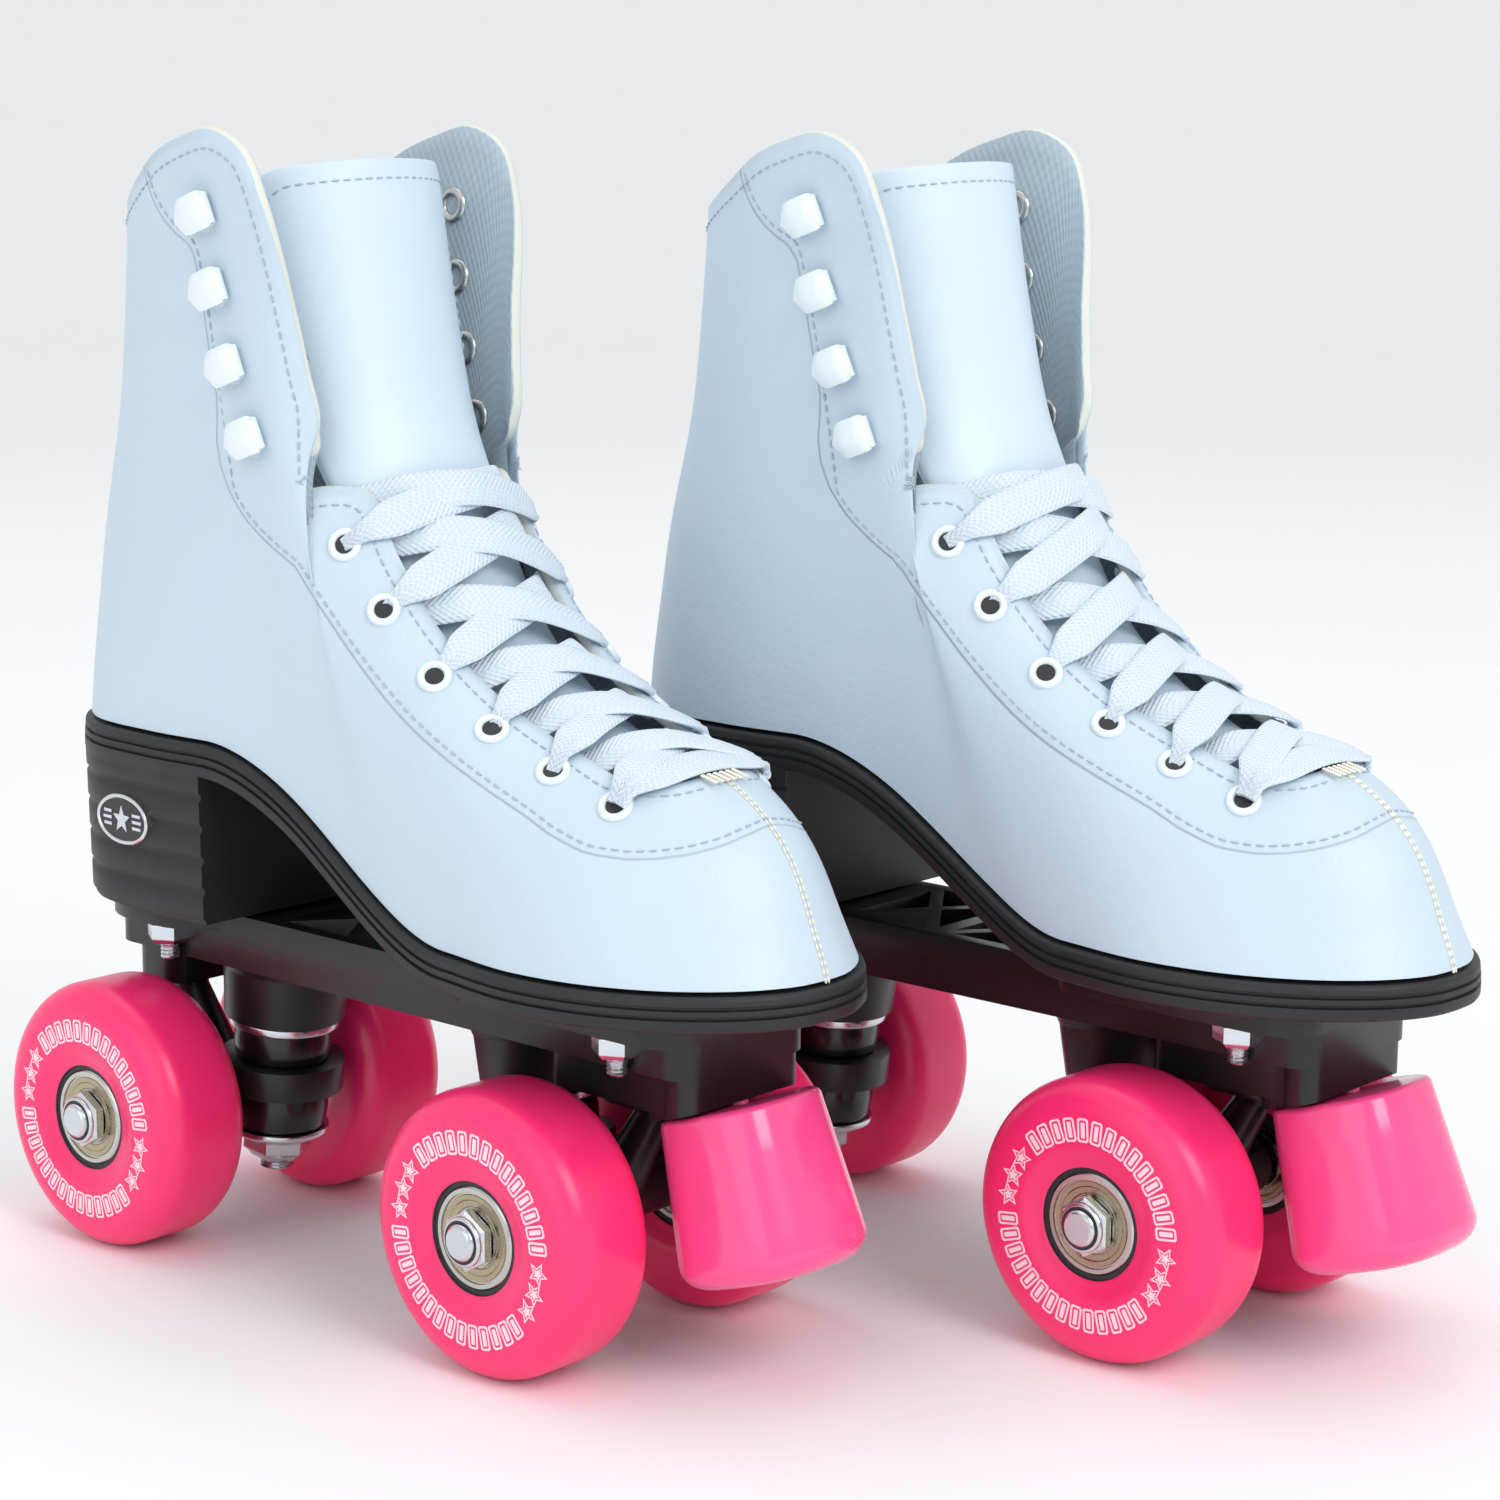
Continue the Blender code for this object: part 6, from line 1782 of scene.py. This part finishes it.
@dataclass
class Wheel:
    """Urethane wheel with its printed ring, and the shielded bearings in its hub."""
    gear: Gear
    tool: NodeTool
    edge: float = 7.0
    dish: float = 17.6
    bearing: float = 11.0
    inset: float = 1.6
    segments: int = 112
    print_radius: float = 20.6

    def tyre(self) -> Shape:
        """The wheel about its own middle, axle along X."""
        half = self.gear.wheel_width / 2
        face = half - self.inset
        edge, hub = self.edge, 12.3
        arc = [(half - edge + edge * math.cos(a), self.gear.wheel_radius - edge + edge * math.sin(a))
               for a in np.linspace(math.pi / 2, 0.0, 12)]
        hollow = [(half - 1.35 * smooth_step((self.dish - r) / (self.dish - hub)), r)
                  for r in np.linspace(18.0, hub, 8)]
        side = [(half, 22.0)] + hollow
        seat = [(face + 0.15, 12.2), (face - 0.35, 12.0), (face - 0.35, self.bearing + 0.1),
                (face - 7.3, self.bearing + 0.1)]
        outline = arc + side + seat
        slots = [0] * (len(arc) + len(side)) + [1, 1, 1]
        profile = outline + [(-a, r) for a, r in outline[::-1]]
        return turned(profile, self.segments, slots=slots + [1] + slots[::-1] + [0])

    def symbols(self) -> tuple[Shape, Shape]:
        """Outlined star and outlined block, flat on Z, 5 mm high."""
        def star(radius: float) -> list:
            """Corners of a five-pointed star."""
            return [(r * radius * math.cos(math.pi * k / 5), r * radius * math.sin(math.pi * k / 5))
                    for k in range(10) for r in ((1.0, 0.46)[k % 2],)]

        def block(x: float, y: float) -> list:
            """Corners of a block with cut corners."""
            c = 0.3 * min(x, y)
            return [(x, -y + c), (x, y - c), (x - c, y), (-x + c, y),
                    (-x, y - c), (-x, -y + c), (-x + c, -y), (x - c, -y)]

        def frame(outer: list, inner: list) -> Shape:
            """Flat frame between two outlines."""
            rings = [[(x, y, z) for x, y in line]
                     for line, z in ((outer, -0.05), (outer, 0.06), (inner, 0.06), (inner, -0.05))]
            count = len(outer)
            shape = loft(rings, capped=False)
            shape.faces += [(3 * count + k, 3 * count + (k + 1) % count, (k + 1) % count, k) for k in range(count)]
            return shape

        starred = frame(star(2.8), star(2.1)).joined(prism(star(1.4), -0.05, 0.06))
        barred = frame(block(2.6, 1.4), block(2.15, 0.95)).joined(prism(block(1.7, 0.5), -0.05, 0.06))
        return starred, barred

    def printing(self, side: int) -> list[tuple[str, bpy.types.Mesh]]:
        """The ring of stars and blocks on the face that looks outwards."""
        half = self.gear.wheel_width / 2
        stars, blocks = [], []
        angles = [(k * 13.0, stars) for k in (-1, 0, 1)] + [(28.0 + k * 9.55, blocks) for k in range(14)]
        angles += [(180.0 + a, group) for a, group in angles]
        for degrees, group in angles:
            a = math.radians(degrees + 20.0)
            out = (0.0, math.cos(a), math.sin(a))
            group.append((np.array([side * (half + 0.02), self.print_radius * out[1], self.print_radius * out[2]]),
                          (side, 0.0, 0.0), out))
        starred, barred = self.symbols()
        return [("printed_stars", self.tool.fit("printed_stars", starred, Surface.INK, stars)),
                ("printed_blocks", self.tool.fit("printed_blocks", barred, Surface.INK, blocks))]

    def bearing_set(self) -> Shape:
        """Two shielded bearings and the spacer between them."""
        face = self.gear.wheel_width / 2 - self.inset
        bore, outer = self.gear.axle_radius + 2 * GAP, self.bearing
        back = face - 7.0
        steps = [((back, bore + 1.2), 0), ((back, outer), 0), ((face - 0.35, outer), 0), ((face, outer - 0.35), 0),
                 ((face, 9.75), 0), ((face - 0.45, 9.6), 0), ((face - 0.45, 9.35), 1), ((face - 0.2, 9.2), 1),
                 ((face - 0.25, 8.2), 1), ((face - 0.5, 7.9), 1), ((face - 0.55, 6.7), 1), ((face - 0.8, 6.4), 0),
                 ((face - 0.8, 6.25), 0), ((face - 0.05, 6.1), 0), ((face, bore + 0.25), 0), ((face - 0.25, bore), 0)]
        profile = [p for p, _ in steps]
        slots = [s for _, s in steps]
        closed = [(-a, r) for a, r in profile[::-1]] + profile
        order = slots[::-1][1:] + [0] + slots[:-1] + [0]
        return turned(closed, 72, slots=order)

    def pieces(self) -> list[Piece]:
        """Wheels, prints and bearings of one skate."""
        tyre = self.tyre().mesh("tyre", [Surface.PINK_WHEEL.material, Surface.INSERT.material], 40.0)
        bearings = self.bearing_set().mesh("bearing_set", [Surface.RACE.material, Surface.SHIELD.material], 35.0)
        prints = {side: self.printing(side) for side in (-1, 1)}
        made = []
        for end, place in ((-1, "front"), (1, "rear")):
            for side, edge in ((-1, "outer"), (1, "inner")):
                name, body = f"{place}_{edge}", f"{place}_{edge}_wheel_set"
                move = Matrix.Translation(Vector((side * self.gear.track / 2, self.gear.axle_y(end),
                                                  self.gear.wheel_radius)) * MM)
                for label, mesh, slot, node in ((f"{name}_tyre", tyre, "pink_urethane", (f"{name}_wheel",)),
                                                (f"{name}_bearing_set", bearings, "bearing_steel",
                                                 (f"{name}_bearings",)),
                                                *[(f"{name}_{ink}", mesh, "pink_urethane", ())
                                                  for ink, mesh in prints[side]]):
                    copy = mesh.copy()
                    copy.transform(move)
                    made.append(Piece(label, copy, body, slot, node))
        return made


# ---- Studio ----

@dataclass
class Studio:
    """Pale floor, soft lights and the camera."""
    azimuth: float = -0.843121
    elevation: float = 0.186762
    roll: float = 0.007878
    distance: float = 818.756
    lens: float = 84.91
    aim: tuple[float, float, float] = (74.4053, -35.8367, 114.3646)   # in the right skate's own millimetres

    def camera(self, skate: Skate) -> None:
        """Stands the camera in front of and to the right of the pair."""
        az, el = self.azimuth, self.elevation
        back = Vector((math.sin(az) * math.cos(el), -math.cos(az) * math.cos(el), math.sin(el)))
        right = Vector((math.cos(az), math.sin(az), 0.0))
        up = back.cross(right)
        across = right * math.cos(self.roll) + up * math.sin(self.roll)
        upright = -right * math.sin(self.roll) + up * math.cos(self.roll)
        data = bpy.data.cameras.new("camera")
        data.lens, data.sensor_width, data.sensor_fit = self.lens, 36.0, "HORIZONTAL"
        data.clip_start, data.clip_end = 0.05, 20.0
        camera = linked("camera", data)
        place = Vector(skate.world(self.aim)) + back * self.distance * MM
        turn = Matrix((across, upright, back)).transposed().to_4x4()
        camera.matrix_world = Matrix.Translation(place) @ turn
        bpy.context.scene.camera = camera

    def lamp(self, name: str, place: tuple, aim: tuple, size: float, power: float, tint: str) -> None:
        """Adds one soft square light.

        Args:
            name: the light's name.
            place: where it hangs, metres.
            aim: the point that it faces.
            size: width of its square.
            power: watts.
            tint: sRGB colour.
        """
        data = bpy.data.lights.new(name, "AREA")
        data.shape, data.size, data.energy = "SQUARE", size, power
        data.color = linear(tint)[:3]
        lamp = linked(name, data)
        lamp.matrix_world = (Matrix.Translation(place)
                             @ (Vector(place) - Vector(aim)).to_track_quat("Z", "Y").to_matrix().to_4x4())

    def floor(self) -> None:
        """Plain pale floor that curves up far away, so that no edge shows."""
        material = Finish("painted_studio_floor", "#F7F8F9", 0.7, grain=8.0, relief=0.01, tone=0.004).material()
        outline = [(0.02, 0.0), (1.0, 0.0), (2.2, 0.0)]
        outline += [(2.2 + 1.6 * math.sin(math.radians(a)), 1.6 - 1.6 * math.cos(math.radians(a)))
                    for a in range(10, 91, 10)]
        count = 48
        points = [(r * math.cos(2 * math.pi * k / count), r * math.sin(2 * math.pi * k / count), z)
                  for r, z in outline for k in range(count)]
        mesh = bpy.data.meshes.new("floor")
        mesh.from_pydata(points, [], [f[::-1] for f in grid_faces(len(outline), count, True)] + [tuple(range(count))])
        mesh.materials.append(material)
        mesh.shade_smooth()
        linked("studio_floor", mesh)

    def build(self, skate: Skate) -> None:
        """Sets up the whole studio."""
        self.camera(skate)
        self.floor()
        world = bpy.data.worlds.new("studio_air")
        world.use_nodes = True
        shade = world.node_tree.nodes["Background"]
        shade.inputs["Color"].default_value = linear("#F6F8FA")
        shade.inputs["Strength"].default_value = 0.86
        bpy.context.scene.world = world
        aim = (0.0, 0.0, 0.12)
        self.lamp("key_light", (-0.3, -1.7, 1.4), aim, 1.0, 15.0, "#FFFFFF")
        self.lamp("fill_light", (-1.6, -0.3, 0.8), aim, 1.4, 5.0, "#F4F8FF")
        self.lamp("top_light", (0.2, 0.4, 1.9), aim, 1.4, 6.0, "#FFFFFF")
        bpy.context.scene.view_settings.view_transform = "Standard"


# ---- Assembly ----

def main() -> None:
    """Builds every sub-assembly once and stands it on both skates."""
    logging.basicConfig(level=logging.INFO, format="%(name)s: %(message)s")
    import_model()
    right, left = Skate("right", False), Skate("left", True)
    plate_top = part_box("right_plate")[1][2] / MM
    axles = [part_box(f"right_{end}_axle") for end in ("front", "rear")]
    wheels = [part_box(f"right_rear_{edge}_wheel") for edge in ("outer", "inner")]
    middles = [0.5 * (box[0][1] + box[1][1]) / MM for box in axles]
    sides = [0.5 * (box[0][0] + box[1][0]) / MM for box in wheels]
    last = Last(plate_top)
    gear = Gear(wheel_radius=0.5 * (axles[0][0][2] + axles[0][1][2]) / MM, wheelbase=abs(middles[1] - middles[0]),
                track=abs(sides[1] - sides[0]), plate_top=plate_top)
    tool = NodeTool()
    Studio().build(right)
    parts = [Upper(last, tool), Tongue(last, tool), Lacing(last), Sole(last), Plate(gear, last, tool),
             Truck(gear, -1), Truck(gear, 1), Wheel(gear, tool)]
    for part in parts:
        for piece in part.pieces():
            for skate in (right, left):
                skate.stand(piece)
            bpy.data.meshes.remove(piece.mesh)
        LOG.info("%s done", type(part).__name__)


if __name__ == "__main__":
    main()
